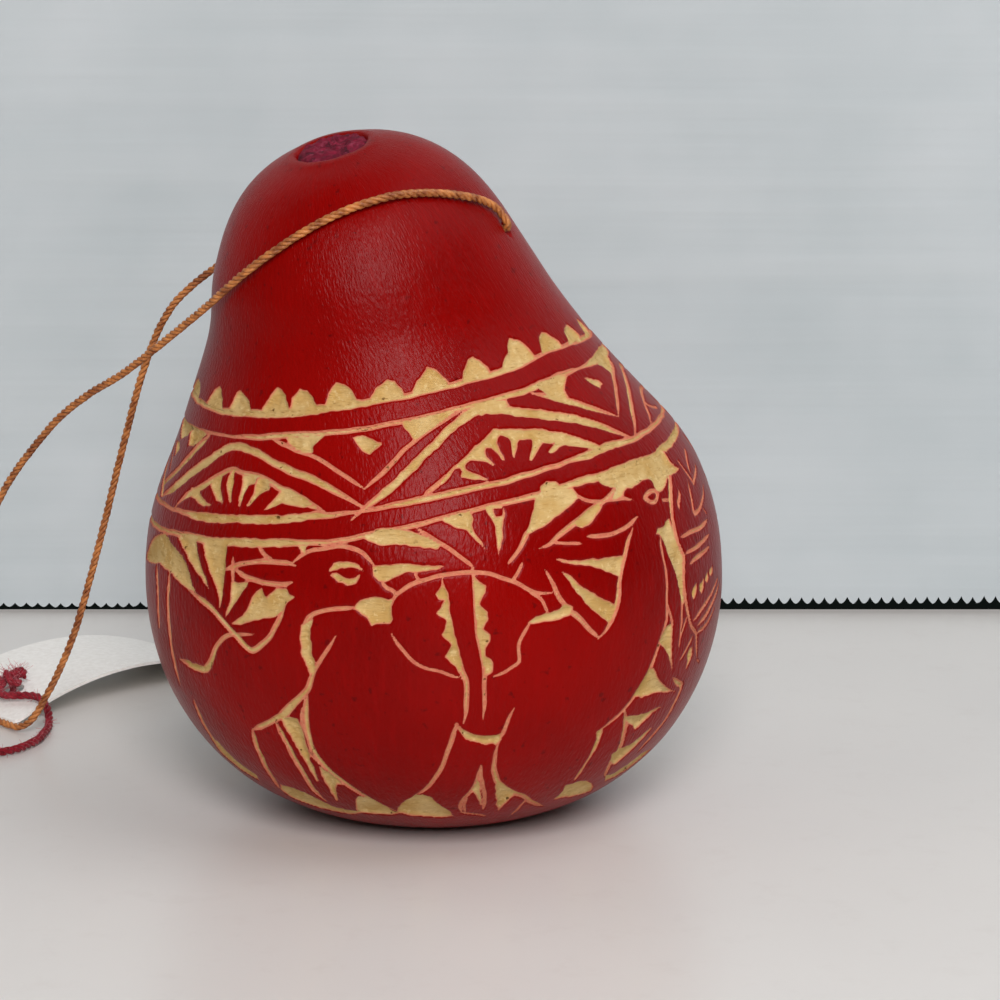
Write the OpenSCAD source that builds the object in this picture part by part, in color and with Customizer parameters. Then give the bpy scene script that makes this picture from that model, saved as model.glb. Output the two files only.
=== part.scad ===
// Small hand-carved gourd ornament: a dried, uncut gourd that leans to one side,
// with the corky scar of its stem, a hanging cord through its neck, a paper hang
// tag tied to the cord with wool yarn, and the dried seeds still loose inside.
// All lengths are in millimetres and all angles in degrees.

/* [Gourd outline] */
// Height of the outline along its own axis, from the foot to the crown
height = 85.3; // [75:0.1:100]
// Largest diameter of the belly
belly_d = 72.5; // [66:0.5:90]
// Height of the widest part of the belly
belly_z = 29.5; // [26:0.5:34]
// Diameter of the flat foot
foot_d = 25; // [20:0.5:34]
// Diameter of the neck where its flare into the belly begins
neck_d = 41.4; // [38:0.2:46]
// Height of that place on the neck
neck_z = 66; // [63:0.5:69]
// Thickness of the dried rind
wall = 2.6; // [2:0.1:4]
// Thickness of the rind under the stem scar
crown_wall = 3.4; // [3:0.1:5]

/* [Fullness of the curves] */
// Rise of the underside where it leaves the foot
foot_rise = 8.5; // [5:0.5:14]
// Pull of the curve at the foot
foot_pull = 14.5; // [10:0.5:18]
// Pull of the curve below the widest part of the belly
low_pull = 15; // [11:0.5:18]
// Pull of the curve above the widest part of the belly
high_pull = 17; // [12:0.5:20]
// Pull of the flare below the neck
flare_pull = 12.6; // [9:0.2:16]
// Slope of the neck, from upright
neck_slope = 21; // [14:0.5:27]
// Pull of the curve above the neck
dome_pull = 10; // [7:0.5:12]
// Pull of the curve at the crown
crown_pull = 14.3; // [10:0.1:17]

/* [Lean] */
// How far the neck has grown to the left
lean_left = 7.5; // [0:0.1:9]
// How far the neck has grown to the front
lean_front = 5; // [0:0.1:8]
// Height at which the lean begins
lean_from = 43.4; // [38:0.2:50]
// Height at which the lean is complete
lean_to = 72.5; // [68:0.5:80]
// Tilt of the crown to the left
nod_left = 14; // [0:0.5:18]
// Tilt of the crown to the front
nod_front = 12; // [0:0.5:18]
// Height at which the crown begins to tilt
nod_from = 52; // [48:0.5:58]

/* [Stem scar] */
// Diameter of the socket left by the stem
scar_d = 8; // [6:0.2:10]
// Depth of the socket below the crown
scar_depth = 2.2; // [1.6:0.1:2.6]
// Radius of the rounded lip of the socket
scar_lip = 1; // [0.6:0.1:1.4]
// Thickness of the corky stub at its raised ring
stub_h = 1.3; // [0.9:0.1:1.5]
// Gap between the corky stub and the side of its socket
stub_gap = 0.1; // [0.05:0.05:0.3]

/* [Hanging cord] */
// Diameter of the two-ply cord
cord_d = 1.2; // [1:0.1:1.6]
// Gap round the cord in the holes of the neck
hole_gap = 0.2; // [0.1:0.05:0.4]
// Height of the right-hand cord hole along the axis of the gourd
hole_right_h = 72.2; // [70:0.1:75]
// Direction of the right-hand cord hole, counted from the right
hole_right_turn = -14; // [-20:1:-8]
// Height of the rear cord hole along the axis of the gourd
hole_rear_h = 75.5; // [73:0.1:77]
// Direction of the rear cord hole, counted from the right
hole_rear_turn = 128; // [120:1:136]
// Diameter of the overhand knot that joins both ends of the cord
knot_d = 3.8; // [3.4:0.1:4.4]
// Length of that knot
knot_l = 4.8; // [4:0.1:6]

/* [Hang tag] */
// Length of the tag, measured straight from end to end
tag_l = 41; // [36:0.5:50]
// Width of the tag
tag_w = 20; // [18:0.5:26]
// Thickness of the card
tag_t = 0.4; // [0.3:0.05:0.6]
// Radius to which the card has curled
tag_curl_r = 52; // [46:1:80]
// Radius of the corners of the card
tag_corner_r = 1.2; // [0.6:0.1:3]
// Diameter of the punched hole
tag_hole_d = 3.2; // [2.8:0.1:4]
// Distance of the hole from the end of the card
tag_hole_in = 5.5; // [4.5:0.1:7]
// Distance of the hole from the front edge of the card
tag_hole_up = 8; // [6:0.1:11]
// Direction of the length of the card on the table
tag_turn = 45; // [40:1:50]
// Diameter of the wool yarn
yarn_d = 1.3; // [1.1:0.1:1.5]
// Diameter of the knot of the yarn
yarn_knot_d = 3.2; // [2.8:0.1:4]

/* [Seeds and pith] */
// Length of a seed
seed_l = 8.4; // [6:0.2:9]
// Width of a seed
seed_w = 4.4; // [3.4:0.1:4.8]
// Thickness of a seed
seed_t = 1.7; // [1.2:0.1:2]
// Seeds in the lower layer
seeds_low = 6; // [4:1:6]
// Seeds in the upper layer
seeds_high = 5; // [3:1:5]
// Gap under the loose seeds and between their layers
loose_gap = 0.3; // [0.2:0.05:0.5]
// Diameter of the clump of dried pith
pith_d = 13; // [9:0.5:15]
// How deep the clump nests between the seeds
pith_nest = 0.6; // [0:0.1:0.8]

/* [Hidden] */

// Facets of the lofts: sectors round, and steps along the three curves of the outline
skin_sectors = 56;
skin_steps = [12, 14, 16];
hollow_sectors = 36;
hollow_steps = [7, 8, 9];
// How far the loft runs below the table before the foot is ground flat
foot_sink = 0.6;
// Share of the dome over which the rind grows thicker
crown_share = 0.25;
// How far a cutting shape runs past what it cuts
over = 1;

// Where the two ends of the cord enter the knot, and the tips of their tails
knot_end = [-76.8, 32, 1.9];
knot_tips = [[-86.2, 30.2, 0.75], [-85.6, 34.4, 0.75]];
strand_gap = 1.4;

// Route of the front strand: over the neck, down through the air and along the table
front_route = [[10.1, -10.9, 74.6], [10.5, -11.5, 75.6], [9.7, -11.9, 76.6], [8.2, -12.3, 77.5],
               [6.4, -13.4, 78.3], [4.4, -14.9, 79.05], [1.2, -17.2, 79.7], [-2.3, -19.2, 79.9],
               [-5.8, -20.5, 79.4],
               [-10.5, -21.5, 77.8], [-15.2, -21.4, 75.3], [-20.1, -19.7, 71.6], [-22.7, -17.9, 69.4],
               [-24.8, -15.8, 67.4], [-27, -12.9, 65.2], [-29.9, -9.4, 62.5], [-34.9, -4.2, 58],
               [-39, 0, 54.5], [-43.2, 3.4, 51.6], [-47.4, 6.8, 48], [-51, 9.7, 43.8],
               [-54.1, 12.2, 39.7], [-56.7, 14.5, 35.4], [-59.4, 17.2, 29.6], [-62, 19.9, 23],
               [-64.6, 22.6, 15.9], [-67.1, 25.1, 9], [-69.6, 27.4, 3.8], [-72, 29.3, 1.4],
               [-74.4, 30.7, 1.3]];

// Route of the back strand: down behind the neck to the table and round to the knot
back_route = [[-20.8, 7.4, 75.3], [-21.8, 8.1, 74.5], [-22.3, 8.4, 73.1], [-22.8, 8.5, 71.5],
              [-23.6, 8.8, 70], [-25, 9.8, 68.8], [-27, 11.3, 67.7], [-28.9, 12.7, 66.2],
              [-30.9, 13.8, 64.1], [-33.3, 15, 61.5], [-35.3, 16.5, 58.3],
              [-37, 18, 54.5], [-38.7, 19.6, 49.7], [-40.3, 21, 44.2], [-42.1, 22.5, 37.8],
              [-44, 24, 30.8], [-46.3, 25.5, 22.7], [-48.7, 27, 15], [-51, 28, 9.4],
              [-53, 28.5, 5.5], [-55, 28.9, 2.2], [-56.8, 29.7, 0.9], [-58.4, 31.2, 0.7],
              [-60, 33, 0.7], [-62.6, 34.7, 0.7], [-66.2, 35.5, 0.7], [-70, 35.2, 0.75],
              [-73.6, 33.8, 1.2]];

// Corner of the tag that rests on the table at the front left
tag_corner = [-57.8, 33.8, 0];
// Route of the yarn: from its knot over the tag, round on the table and back over the cord
yarn_route = [[-61, 41.4, 2.9], [-60.4, 39.6, 2.7], [-58.4, 38.9, 2.8], [-56.2, 37.9, 3],
              [-54.7, 36.4, 2.9], [-53.6, 34.4, 1.8], [-53.1, 31.4, 0.8], [-53.2, 27.9, 0.7],
              [-53.9, 23.4, 0.7], [-56.2, 19.2, 0.7], [-59.6, 17.3, 0.7], [-63.6, 17.9, 0.7],
              [-67, 20.8, 0.7], [-68.8, 25.1, 0.7], [-69.2, 29.8, 1], [-68.9, 33.4, 2.1],
              [-68.3, 36.6, 2.1], [-66.6, 39.9, 1.5], [-64.4, 42.3, 2.2]];
// Side of the yarn's knot at which each end of the yarn comes out
yarn_start_side = [-0.9, -1, -0.35];
yarn_end_side = [-1, 0.1, -0.35];

// Smooth step from 0 to 1
function smooth(t) = let (c = min(max(t, 0), 1)) c * c * (3 - 2 * c);
// Point of a cubic curve
function bezier(p, t) = pow(1 - t, 3) * p[0] + 3 * pow(1 - t, 2) * t * p[1]
                        + 3 * (1 - t) * t * t * p[2] + pow(t, 3) * p[3];
function unit(v) = v / norm(v);
// Vector v turned by angle a round the unit vector k
function turned(v, k, a) = v * cos(a) + cross(k, v) * sin(a) + k * (k * v) * (1 - cos(a));

// The three curves of the outline, as [radius, height] control points
belly_point = [belly_d / 2, belly_z];
neck_point = [neck_d / 2, neck_z];
flare_dir = [sin(neck_slope), -cos(neck_slope)];
under_curve = [[foot_d / 2, 0], [foot_d / 2, 0] + foot_pull * [cos(foot_rise), sin(foot_rise)],
               belly_point - [0, low_pull], belly_point];
shoulder_curve = [belly_point, belly_point + [0, high_pull], neck_point + flare_pull * flare_dir, neck_point];
dome_curve = [neck_point, neck_point - dome_pull * flare_dir, [crown_pull, height], [0, height]];

// Points of the outline from the edge of the foot to the crown
function outline(steps) = concat(
    [for (i = [0:steps[0] - 1]) bezier(under_curve, i / steps[0])],
    [for (i = [0:steps[1] - 1]) bezier(shoulder_curve, i / steps[1])],
    [for (i = [0:steps[2]]) bezier(dome_curve, i / steps[2])]);
// Direction of the outline at point i
function along(line, i) = unit(line[min(i + 1, len(line) - 1)] - line[max(i - 1, 0)]);
// The outline moved inwards by the thickness of the rind, which grows towards the crown
function rind(h) = wall + (crown_wall - wall) * smooth((h - height) / ((height - neck_z) * crown_share) + 1);
function inner_line(line) = [for (i = [0:len(line) - 2])
    let (d = along(line, i)) line[i] + rind(line[i][1]) * [-d[1], d[0]]];

// Axis and angle of the tilt of the crown
nod_dir = unit([-tan(nod_left), -tan(nod_front), 1]);
nod_axis = unit([-nod_dir[1], nod_dir[0], 0]);
nod_angle = acos(nod_dir[2]);
// Point of the gourd at radius r, height h along its axis, and direction a
function placed(r, h, a) =
    let (s = smooth((h - lean_from) / (lean_to - lean_from)),
         nod = nod_angle * smooth((h - nod_from) / (height - nod_from)))
    turned([r * cos(a), r * sin(a), h - neck_z], nod_axis, nod)
    + [-lean_left * s, -lean_front * s, neck_z];
crown_at = placed(0, height, 0);

// Radius of the outer skin at a height above the neck point, found along the dome curve
dome_line = [for (i = [0:60]) bezier(dome_curve, i / 60)];
function skin_r(h) = lookup(h, [for (p = dome_line) [p[1], p[0]]]);
hole_right = placed(skin_r(hole_right_h), hole_right_h, hole_right_turn);
hole_rear = placed(skin_r(hole_rear_h), hole_rear_h, hole_rear_turn);
hole_dir = unit(hole_right - hole_rear);
hole_span = norm(hole_right - hole_rear);

// Closed loft through rings of points, with a pole at each end
module loft(line, low_pole, high_pole, sectors) {
    rings = len(line);
    ring_points = [for (p = line) for (j = [0:sectors - 1]) placed(p[0], p[1], 360 * j / sectors)];
    low = rings * sectors;
    function at(i, j) = i * sectors + j % sectors;
    faces = concat(
        [for (j = [0:sectors - 1]) [low, at(0, j), at(0, j + 1)]],
        [for (i = [0:rings - 2]) for (j = [0:sectors - 1]) [at(i, j), at(i + 1, j), at(i + 1, j + 1)]],
        [for (i = [0:rings - 2]) for (j = [0:sectors - 1]) [at(i, j), at(i + 1, j + 1), at(i, j + 1)]],
        [for (j = [0:sectors - 1]) [low + 1, at(rings - 1, j + 1), at(rings - 1, j)]]);
    polyhedron(concat(ring_points, [low_pole, high_pole]), faces);
}

// Turns a shape that points up so that it points along d
module pointed(d) {
    rotate([0, acos(d[2] / norm(d)), atan2(d[1], d[0])]) children();
}

// Tube of diameter d swept along a route, with a ring at each step of a smooth curve
tube_sides = 8;
tube_ring_step = 3.9;
function curve_point(route, i, t) =
    let (last = len(route) - 1, a = route[max(i - 1, 0)], b = route[i],
         c = route[min(i + 1, last)], e = route[min(i + 2, last)])
    0.5 * (2 * b + (c - a) * t + (2 * a - 5 * b + 4 * c - e) * t * t + (3 * b - a - 3 * c + e) * t * t * t);
function ring_spots(route) = concat(
    [for (i = [0:len(route) - 2])
        let (n = max(1, round(norm(route[i + 1] - route[i]) / tube_ring_step)))
        for (k = [0:n - 1]) curve_point(route, i, k / n)],
    [route[len(route) - 1]]);
function next_side(side, dir) = unit(side - dir * (side * dir));
module swept_tube(route, d, start_dir, end_dir) {
    spots = ring_spots(route);
    last = len(spots) - 1;
    dirs = [for (i = [0:last]) i == 0 ? start_dir : i == last ? end_dir : unit(spots[i + 1] - spots[i - 1])];
    first_side = unit(cross(start_dir, abs(start_dir[2]) < 0.9 ? [0, 0, 1] : [1, 0, 0]));
    sides = [for (i = 0, s = first_side; i <= last; i = i + 1, s = next_side(s, dirs[min(i, last)])) s];
    // The flats of the tube lie on a circle of diameter d
    r = d / 2 / cos(180 / tube_sides) * 0.98;
    points = [for (i = [0:last]) for (j = [0:tube_sides - 1])
        let (a = 360 * (j + 0.5) / tube_sides)
        spots[i] + r * (cos(a) * sides[i] + sin(a) * cross(dirs[i], sides[i]))];
    function at(i, j) = i * tube_sides + j % tube_sides;
    faces = concat(
        [[for (j = [0:tube_sides - 1]) at(0, j)]],
        [for (i = [0:last - 1]) for (j = [0:tube_sides - 1]) [at(i, j), at(i + 1, j), at(i + 1, j + 1)]],
        [for (i = [0:last - 1]) for (j = [0:tube_sides - 1]) [at(i, j), at(i + 1, j + 1), at(i, j + 1)]],
        [[for (j = [tube_sides - 1:-1:0]) at(last, j)]]);
    polyhedron(points, faces);
}

// Rind of the gourd: hollow, uncut, ground flat at the foot, with the stem's socket and two cord holes
module gourd_shell() {
    skin = outline(skin_steps);
    hollow = inner_line(outline(hollow_steps));
    skin_foot = [foot_d / 2 - foot_sink / tan(foot_rise), -foot_sink];
    skin_rings = concat([skin_foot], [for (i = [0:len(skin) - 2]) skin[i]]);
    color("firebrick")
    difference() {
        loft(skin_rings, [0, 0, -foot_sink], crown_at, skin_sectors);
        loft(hollow, [0, 0, hollow[0][1]], placed(0, height - crown_wall, 0), hollow_sectors);
        translate([-foot_d, -foot_d, -foot_sink - over]) cube([2 * foot_d, 2 * foot_d, foot_sink + over]);
        translate(crown_at) pointed(nod_dir) scar_socket();
        cord_bore(cord_d + 2 * hole_gap, over);
    }
}

// Room for the stem scar, with a rounded lip; its floor is flat
module scar_socket() {
    r = scar_d / 2;
    lip = [for (a = [180:-15:90]) [r + scar_lip + scar_lip * cos(a), -scar_lip + scar_lip * sin(a)]];
    rotate_extrude($fn = 64)
        polygon(concat([[0, -scar_depth], [r, -scar_depth]], lip, [[r + scar_lip, over], [0, over]]));
}

// Straight bore through both sides of the neck, longer than the neck by extra at each end
module cord_bore(d, extra) {
    translate(hole_rear - extra * hole_dir) pointed(hole_dir) cylinder(h = hole_span + 2 * extra, d = d, $fn = 32);
}

// Corky stub of the stem, seated in its socket, with a raised ring round a sunk middle
module stem_scar() {
    r = scar_d / 2 - stub_gap;
    color("maroon")
    translate(crown_at) pointed(nod_dir) translate([0, 0, -scar_depth])
        rotate_extrude($fn = 64)
            polygon([[0, 0], [r, 0], [r, 0.55 * stub_h], [0.86 * r, 0.85 * stub_h], [0.7 * r, stub_h],
                     [0.5 * r, 0.9 * stub_h], [0.25 * r, 0.5 * stub_h], [0, 0.4 * stub_h]]);
}

// One flat seed, pointed at its inner end, lying with its underside at z = 0
module seed() {
    half = seed_w / 2;
    lens_r = (pow(seed_l / 2, 2) + pow(seed_t / 2, 2)) / seed_t;
    function bulge(r) = sqrt(lens_r * lens_r - r * r) - (lens_r - seed_t / 2);
    radii = [for (k = [0:5]) seed_l / 2 * k / 5];
    edge = concat([[-seed_l / 2, 0]], [for (a = [-60:20:60]) [seed_l / 2 - half + half * cos(a), half * sin(a)]]);
    translate([0, 0, seed_t / 2])
    intersection() {
        translate([0, 0, -seed_t]) linear_extrude(height = 2 * seed_t) polygon(edge);
        rotate_extrude($fn = 64)
            polygon(concat([for (k = [0:5]) [radii[k], -bulge(radii[k])]],
                           [for (k = [4:-1:0]) [radii[k], bulge(radii[k])]]));
    }
}

// Loose seeds in two layers on the floor of the hollow
floor_z = wall + loose_gap;
module seed_ring(count, r, z, turn) {
    for (i = [0:count - 1])
        rotate([0, 0, 360 * i / count + turn]) translate([r, 0, z]) seed();
}
module dried_seeds() {
    color("tan") {
        seed_ring(seeds_low, seed_l / 2 + 2.4, floor_z, 10);
        seed_ring(seeds_high, seed_l / 2 + 2, floor_z + seed_t + loose_gap, 35);
    }
}

// Clump of shrivelled pith that lies on the seeds
module dried_pith() {
    sectors = 14;
    rings = 8;
    r = pith_d / 2;
    base = floor_z + 2 * seed_t + loose_gap - pith_nest;
    // Lumps of the surface, as a share of the radius
    function lump(a, b) = 1 + 0.09 * sin(3 * a + 40) * sin(2 * b) + 0.06 * cos(5 * a) * sin(3 * b);
    function spot(a, b) = [r * lump(a, b) * sin(b) * cos(a), 0.9 * r * lump(a, b) * sin(b) * sin(a),
                           base + 0.62 * r * (1 - cos(b))];
    function at(i, j) = i * sectors + j % sectors;
    low = rings * sectors;
    points = concat([for (i = [0:rings - 1]) for (j = [0:sectors - 1])
                        spot(360 * j / sectors, 180 * (i + 1) / (rings + 1))],
                    [spot(0, 0), spot(0, 180)]);
    faces = concat(
        [for (j = [0:sectors - 1]) [low, at(0, j), at(0, j + 1)]],
        [for (i = [0:rings - 2]) for (j = [0:sectors - 1]) [at(i, j), at(i + 1, j), at(i + 1, j + 1)]],
        [for (i = [0:rings - 2]) for (j = [0:sectors - 1]) [at(i, j), at(i + 1, j + 1), at(i, j + 1)]],
        [for (j = [0:sectors - 1]) [low + 1, at(rings - 1, j + 1), at(rings - 1, j)]]);
    color("wheat") polyhedron(points, faces);
}

// Cord where it runs straight through the neck, from skin to skin
module cord_inside() {
    color("chocolate") cord_bore(cord_d, 0);
}

// Strand that leaves the right-hand hole and crosses the front of the neck
module cord_front_strand() {
    entry = knot_end - [0, strand_gap / 2, 0];
    color("chocolate")
    swept_tube(concat([hole_right], front_route, [entry]), cord_d, hole_dir, [-1, 0, 0]);
}

// Strand that leaves the rear hole and hangs behind the neck
module cord_back_strand() {
    entry = knot_end + [0, strand_gap / 2, 0];
    color("chocolate")
    swept_tube(concat([hole_rear], back_route, [entry]), cord_d, -hole_dir, [-1, 0, 0]);
}

// Overhand knot in both ends of the cord, with two short tails
module cord_knot() {
    r = knot_d / 2;
    bulge = [for (a = [-60:15:60]) [r * cos(a), knot_l / 2 * sin(a) / sin(60)]];
    color("chocolate") {
        translate(knot_end - [knot_l / 2, 0, 0]) rotate([0, 90, 0])
            rotate_extrude($fn = 48) polygon(concat([[0, -knot_l / 2]], bulge, [[0, knot_l / 2]]));
        for (tip = knot_tips) {
            root = knot_end - [knot_l / 2, 0, 0];
            translate(root) pointed(tip - root) cylinder(h = norm(tip - root), d = cord_d, $fn = 24);
        }
    }
}

// Outline of the card, with rounded corners
function card_corner(x, y, from) = [for (a = [from:30:from + 90])
    [x + tag_corner_r * cos(a), y + tag_corner_r * sin(a)]];
function card_outline() = let (c = tag_corner_r, l = tag_l, w = tag_w) concat(
    card_corner(c, c, 180), card_corner(l - c, c, 270), card_corner(l - c, w - c, 0), card_corner(c, w - c, 90));

// Curled card with a punched hole, resting on its two ends
module hang_tag() {
    axis_z = -sqrt(pow(tag_curl_r, 2) - pow(tag_l / 2, 2));
    rise = tag_curl_r + axis_z;
    color("ivory")
    translate(tag_corner) rotate([0, 0, tag_turn])
    difference() {
        intersection() {
            translate([tag_l / 2, -over, axis_z]) rotate([-90, 0, 0])
                cylinder(h = tag_w + 2 * over, r = tag_curl_r + tag_t, $fn = 180);
            linear_extrude(height = rise + tag_t + over) polygon(card_outline());
        }
        translate([tag_l / 2, -2 * over, axis_z]) rotate([-90, 0, 0])
            cylinder(h = tag_w + 4 * over, r = tag_curl_r, $fn = 180);
        translate([tag_hole_in, tag_hole_up, -over]) cylinder(h = rise + 3 * over, d = tag_hole_d, $fn = 32);
    }
}

// Height of the upper face of the tag at a distance from its left end
function tag_top(s) = sqrt(pow(tag_curl_r + tag_t, 2) - pow(s - tag_l / 2, 2))
                      - sqrt(pow(tag_curl_r, 2) - pow(tag_l / 2, 2));
yarn_knot_at = tag_corner + turned([tag_hole_in, tag_hole_up, 0], [0, 0, 1], tag_turn)
               + [0, 0, tag_top(tag_hole_in + tag_hole_d / 2) + yarn_knot_d / 2];

// Yarn that ties the tag to the cord: it starts and ends at its knot
module tag_yarn() {
    start_dir = unit(yarn_start_side);
    end_dir = unit(yarn_end_side);
    r = yarn_knot_d / 2;
    color("crimson")
    swept_tube(concat([yarn_knot_at + r * start_dir], yarn_route, [yarn_knot_at + r * end_dir]),
               yarn_d, start_dir, -end_dir);
}

// Knot of the yarn on the hole of the tag, with the bight that goes down through the hole
module yarn_knot() {
    color("crimson")
    translate(yarn_knot_at) {
        sphere(d = yarn_knot_d, $fn = 32);
        translate([0, 0, -yarn_knot_d / 2 - yarn_d]) cylinder(h = yarn_knot_d / 2 + yarn_d, d = yarn_d, $fn = 24);
    }
}

gourd_shell();
stem_scar();
dried_seeds();
dried_pith();
cord_inside();
cord_front_strand();
cord_back_strand();
cord_knot();
hang_tag();
tag_yarn();
yarn_knot();
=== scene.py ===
import math
import random

import bpy
import numpy as np
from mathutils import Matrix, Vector, noise


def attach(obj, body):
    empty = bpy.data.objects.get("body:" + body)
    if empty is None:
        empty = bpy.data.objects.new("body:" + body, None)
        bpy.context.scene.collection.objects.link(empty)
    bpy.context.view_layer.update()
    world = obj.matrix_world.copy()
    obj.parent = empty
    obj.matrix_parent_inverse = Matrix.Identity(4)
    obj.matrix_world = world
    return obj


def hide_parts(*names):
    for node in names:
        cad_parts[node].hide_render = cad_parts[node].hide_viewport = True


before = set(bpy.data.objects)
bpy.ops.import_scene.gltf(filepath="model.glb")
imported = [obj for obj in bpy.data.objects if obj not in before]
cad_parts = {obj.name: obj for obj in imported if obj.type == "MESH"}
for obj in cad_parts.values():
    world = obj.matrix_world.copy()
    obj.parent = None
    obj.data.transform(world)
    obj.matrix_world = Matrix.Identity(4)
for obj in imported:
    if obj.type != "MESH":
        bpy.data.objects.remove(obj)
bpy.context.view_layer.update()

MM = 0.001
collection = bpy.context.scene.collection


def unit(v):
    v = np.asarray(v, float)
    return v / np.linalg.norm(v, axis=-1, keepdims=True)


def smooth(x):
    x = np.clip(x, 0, 1)
    return x * x * (3 - 2 * x)


# Camera
camera_data = bpy.data.cameras.new("camera")
camera_data.lens = 129.2
camera_data.sensor_width = 36
camera = bpy.data.objects.new("camera", camera_data)
camera.location = (0.0083, -0.4402, 0.1322)
camera.rotation_euler = (math.radians(78), 0, 0)
collection.objects.link(camera)
bpy.context.scene.camera = camera


# Helpers for materials
def lin(hex_colour):
    """An sRGB colour as linear values with alpha."""
    parts = [int(hex_colour[i : i + 2], 16) / 255 for i in (1, 3, 5)]
    return [c / 12.92 if c <= 0.04045 else ((c + 0.055) / 1.055) ** 2.4 for c in parts] + [1]


def new_material(name):
    mat = bpy.data.materials.new(name)
    mat.use_nodes = True
    tree = mat.node_tree
    tree.nodes.clear()
    out = tree.nodes.new("ShaderNodeOutputMaterial")
    bsdf = tree.nodes.new("ShaderNodeBsdfPrincipled")
    tree.links.new(bsdf.outputs[0], out.inputs[0])
    return mat, tree, bsdf


def feed(tree, socket, value):
    """Gives an input a constant or another node's output socket."""
    if isinstance(value, bpy.types.NodeSocket):
        tree.links.new(value, socket)
    else:
        socket.default_value = value


def add(tree, kind, inputs=None, **settings):
    """Adds one node with its settings and inputs."""
    made = tree.nodes.new("ShaderNode" + kind)
    for key, value in settings.items():
        setattr(made, key, value)
    for key, value in (inputs or {}).items():
        feed(tree, made.inputs[key], value)
    return made


def plug(tree, bsdf, **values):
    """Sets inputs of the main shader; underscores stand for spaces."""
    for key, value in values.items():
        feed(tree, bsdf.inputs[key.replace("_", " ")], value)


def mix(tree, factor, a, b):
    """Blends two colours, which a Mix node has at inputs 6 and 7."""
    return add(tree, "Mix", {0: factor, 6: a, 7: b}, data_type="RGBA").outputs[2]


def span(tree, value, low, high, to_low=0.0, to_high=1.0, smoothly=False):
    """Maps a value from one range to another, clamped."""
    kind = "SMOOTHSTEP" if smoothly else "LINEAR"
    names = {"Value": value, "From Min": low, "From Max": high, "To Min": to_low, "To Max": to_high}
    return add(tree, "MapRange", names, interpolation_type=kind, clamp=True).outputs[0]


def maths(tree, operation, a, b):
    return add(tree, "Math", {0: a, 1: b}, operation=operation).outputs[0]


def noise_at(tree, where, scale, detail=2.0, roughness=0.5, distortion=0.0):
    names = {
        "Vector": where, "Scale": scale, "Detail": detail, "Roughness": roughness, "Distortion": distortion,
    }
    return add(tree, "TexNoise", names).outputs[0]


def bumped(tree, height, distance, strength):
    return add(tree, "Bump", {"Height": height, "Distance": distance, "Strength": strength}).outputs[0]


def stretched(tree, source, scale):
    return add(tree, "Mapping", {"Vector": source, "Scale": scale}).outputs[0]


def object_coords(tree):
    return add(tree, "TexCoord").outputs["Object"]


# Helpers for meshes
def mesh_object(name, verts, faces, mat, body="gourd"):
    """An object from points in millimetres; faces are an array, or a list where their sizes differ."""
    data = bpy.data.meshes.new(name)
    if isinstance(faces, np.ndarray):
        size = faces.shape[1]
        data.vertices.add(len(verts))
        data.vertices.foreach_set("co", (np.asarray(verts) * MM).ravel())
        data.loops.add(faces.size)
        data.loops.foreach_set("vertex_index", faces.ravel().astype(np.int32))
        data.polygons.add(len(faces))
        data.polygons.foreach_set("loop_start", np.arange(0, faces.size, size, dtype=np.int32))
        data.update(calc_edges=True)
    else:
        data.from_pydata([tuple(p) for p in np.asarray(verts) * MM], [], faces)
    data.polygons.foreach_set("use_smooth", np.full(len(data.polygons), True))
    data.validate()
    data.update()
    obj = bpy.data.objects.new(name, data)
    collection.objects.link(obj)
    data.materials.append(mat)
    if body:
        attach(obj, body)
    return obj


BETWEEN = 24  # places worked out between two given points of a line, before it is spaced evenly


def curve_through(points, step):
    """A smooth line through points (Catmull-Rom), as points about step apart."""
    p = np.asarray(points, float)
    ext = np.vstack([2 * p[0] - p[1], p, 2 * p[-1] - p[-2]])
    dense = []
    for i in range(1, len(ext) - 2):
        a, b, c, d = ext[i - 1 : i + 3]
        t = np.linspace(0, 1, BETWEEN, endpoint=False)[:, None]
        dense.append(
            0.5 * (2 * b + (c - a) * t + (2 * a - 5 * b + 4 * c - d) * t**2 + (3 * b - a - 3 * c + d) * t**3)
        )
    dense = np.vstack([*dense, p[-1:]])
    length = np.concatenate([[0], np.cumsum(np.linalg.norm(np.diff(dense, axis=0), axis=1))])
    count = max(2, int(round(length[-1] / step)) + 1)
    at = np.linspace(0, length[-1], count)
    return np.stack([np.interp(at, length, dense[:, k]) for k in range(dense.shape[1])], axis=1)


def frames_along(line):
    """Two sideways directions at each point of a line, without twist."""
    ahead = unit(np.gradient(line, axis=0))
    side = unit(np.cross(ahead[0], [0.3, 0.2, 1.0]))
    sides = [side]
    for d in ahead[1:]:
        side = unit(side - d * np.dot(side, d))
        sides.append(side)
    sides = np.array(sides)
    return ahead, sides, np.cross(ahead, sides)


def ring_quads(rings, around):
    """Quads between closed rings of points that lie one after another."""
    i = np.arange(rings - 1)[:, None] * around
    j = np.arange(around)[None]
    after = (j + 1) % around
    return np.stack([i + j, i + after, i + around + after, i + around + j], axis=-1).reshape(-1, 4)


def tube(line, radii, ring):
    """Points and faces of a round tube along a line, closed at both ends."""
    _, u, v = frames_along(line)
    a = np.linspace(0, 2 * np.pi, ring, endpoint=False)
    r = np.broadcast_to(np.asarray(radii, float), len(line))[:, None, None]
    across = u[:, None] * np.cos(a)[None, :, None] + v[:, None] * np.sin(a)[None, :, None]
    verts = (line[:, None] + r * across).reshape(-1, 3)
    faces = [tuple(q) for q in ring_quads(len(line), ring)]
    last = (len(line) - 1) * ring
    faces.append(tuple(range(ring - 1, -1, -1)))
    faces.append(tuple(last + k for k in range(ring)))
    return verts, faces


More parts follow.
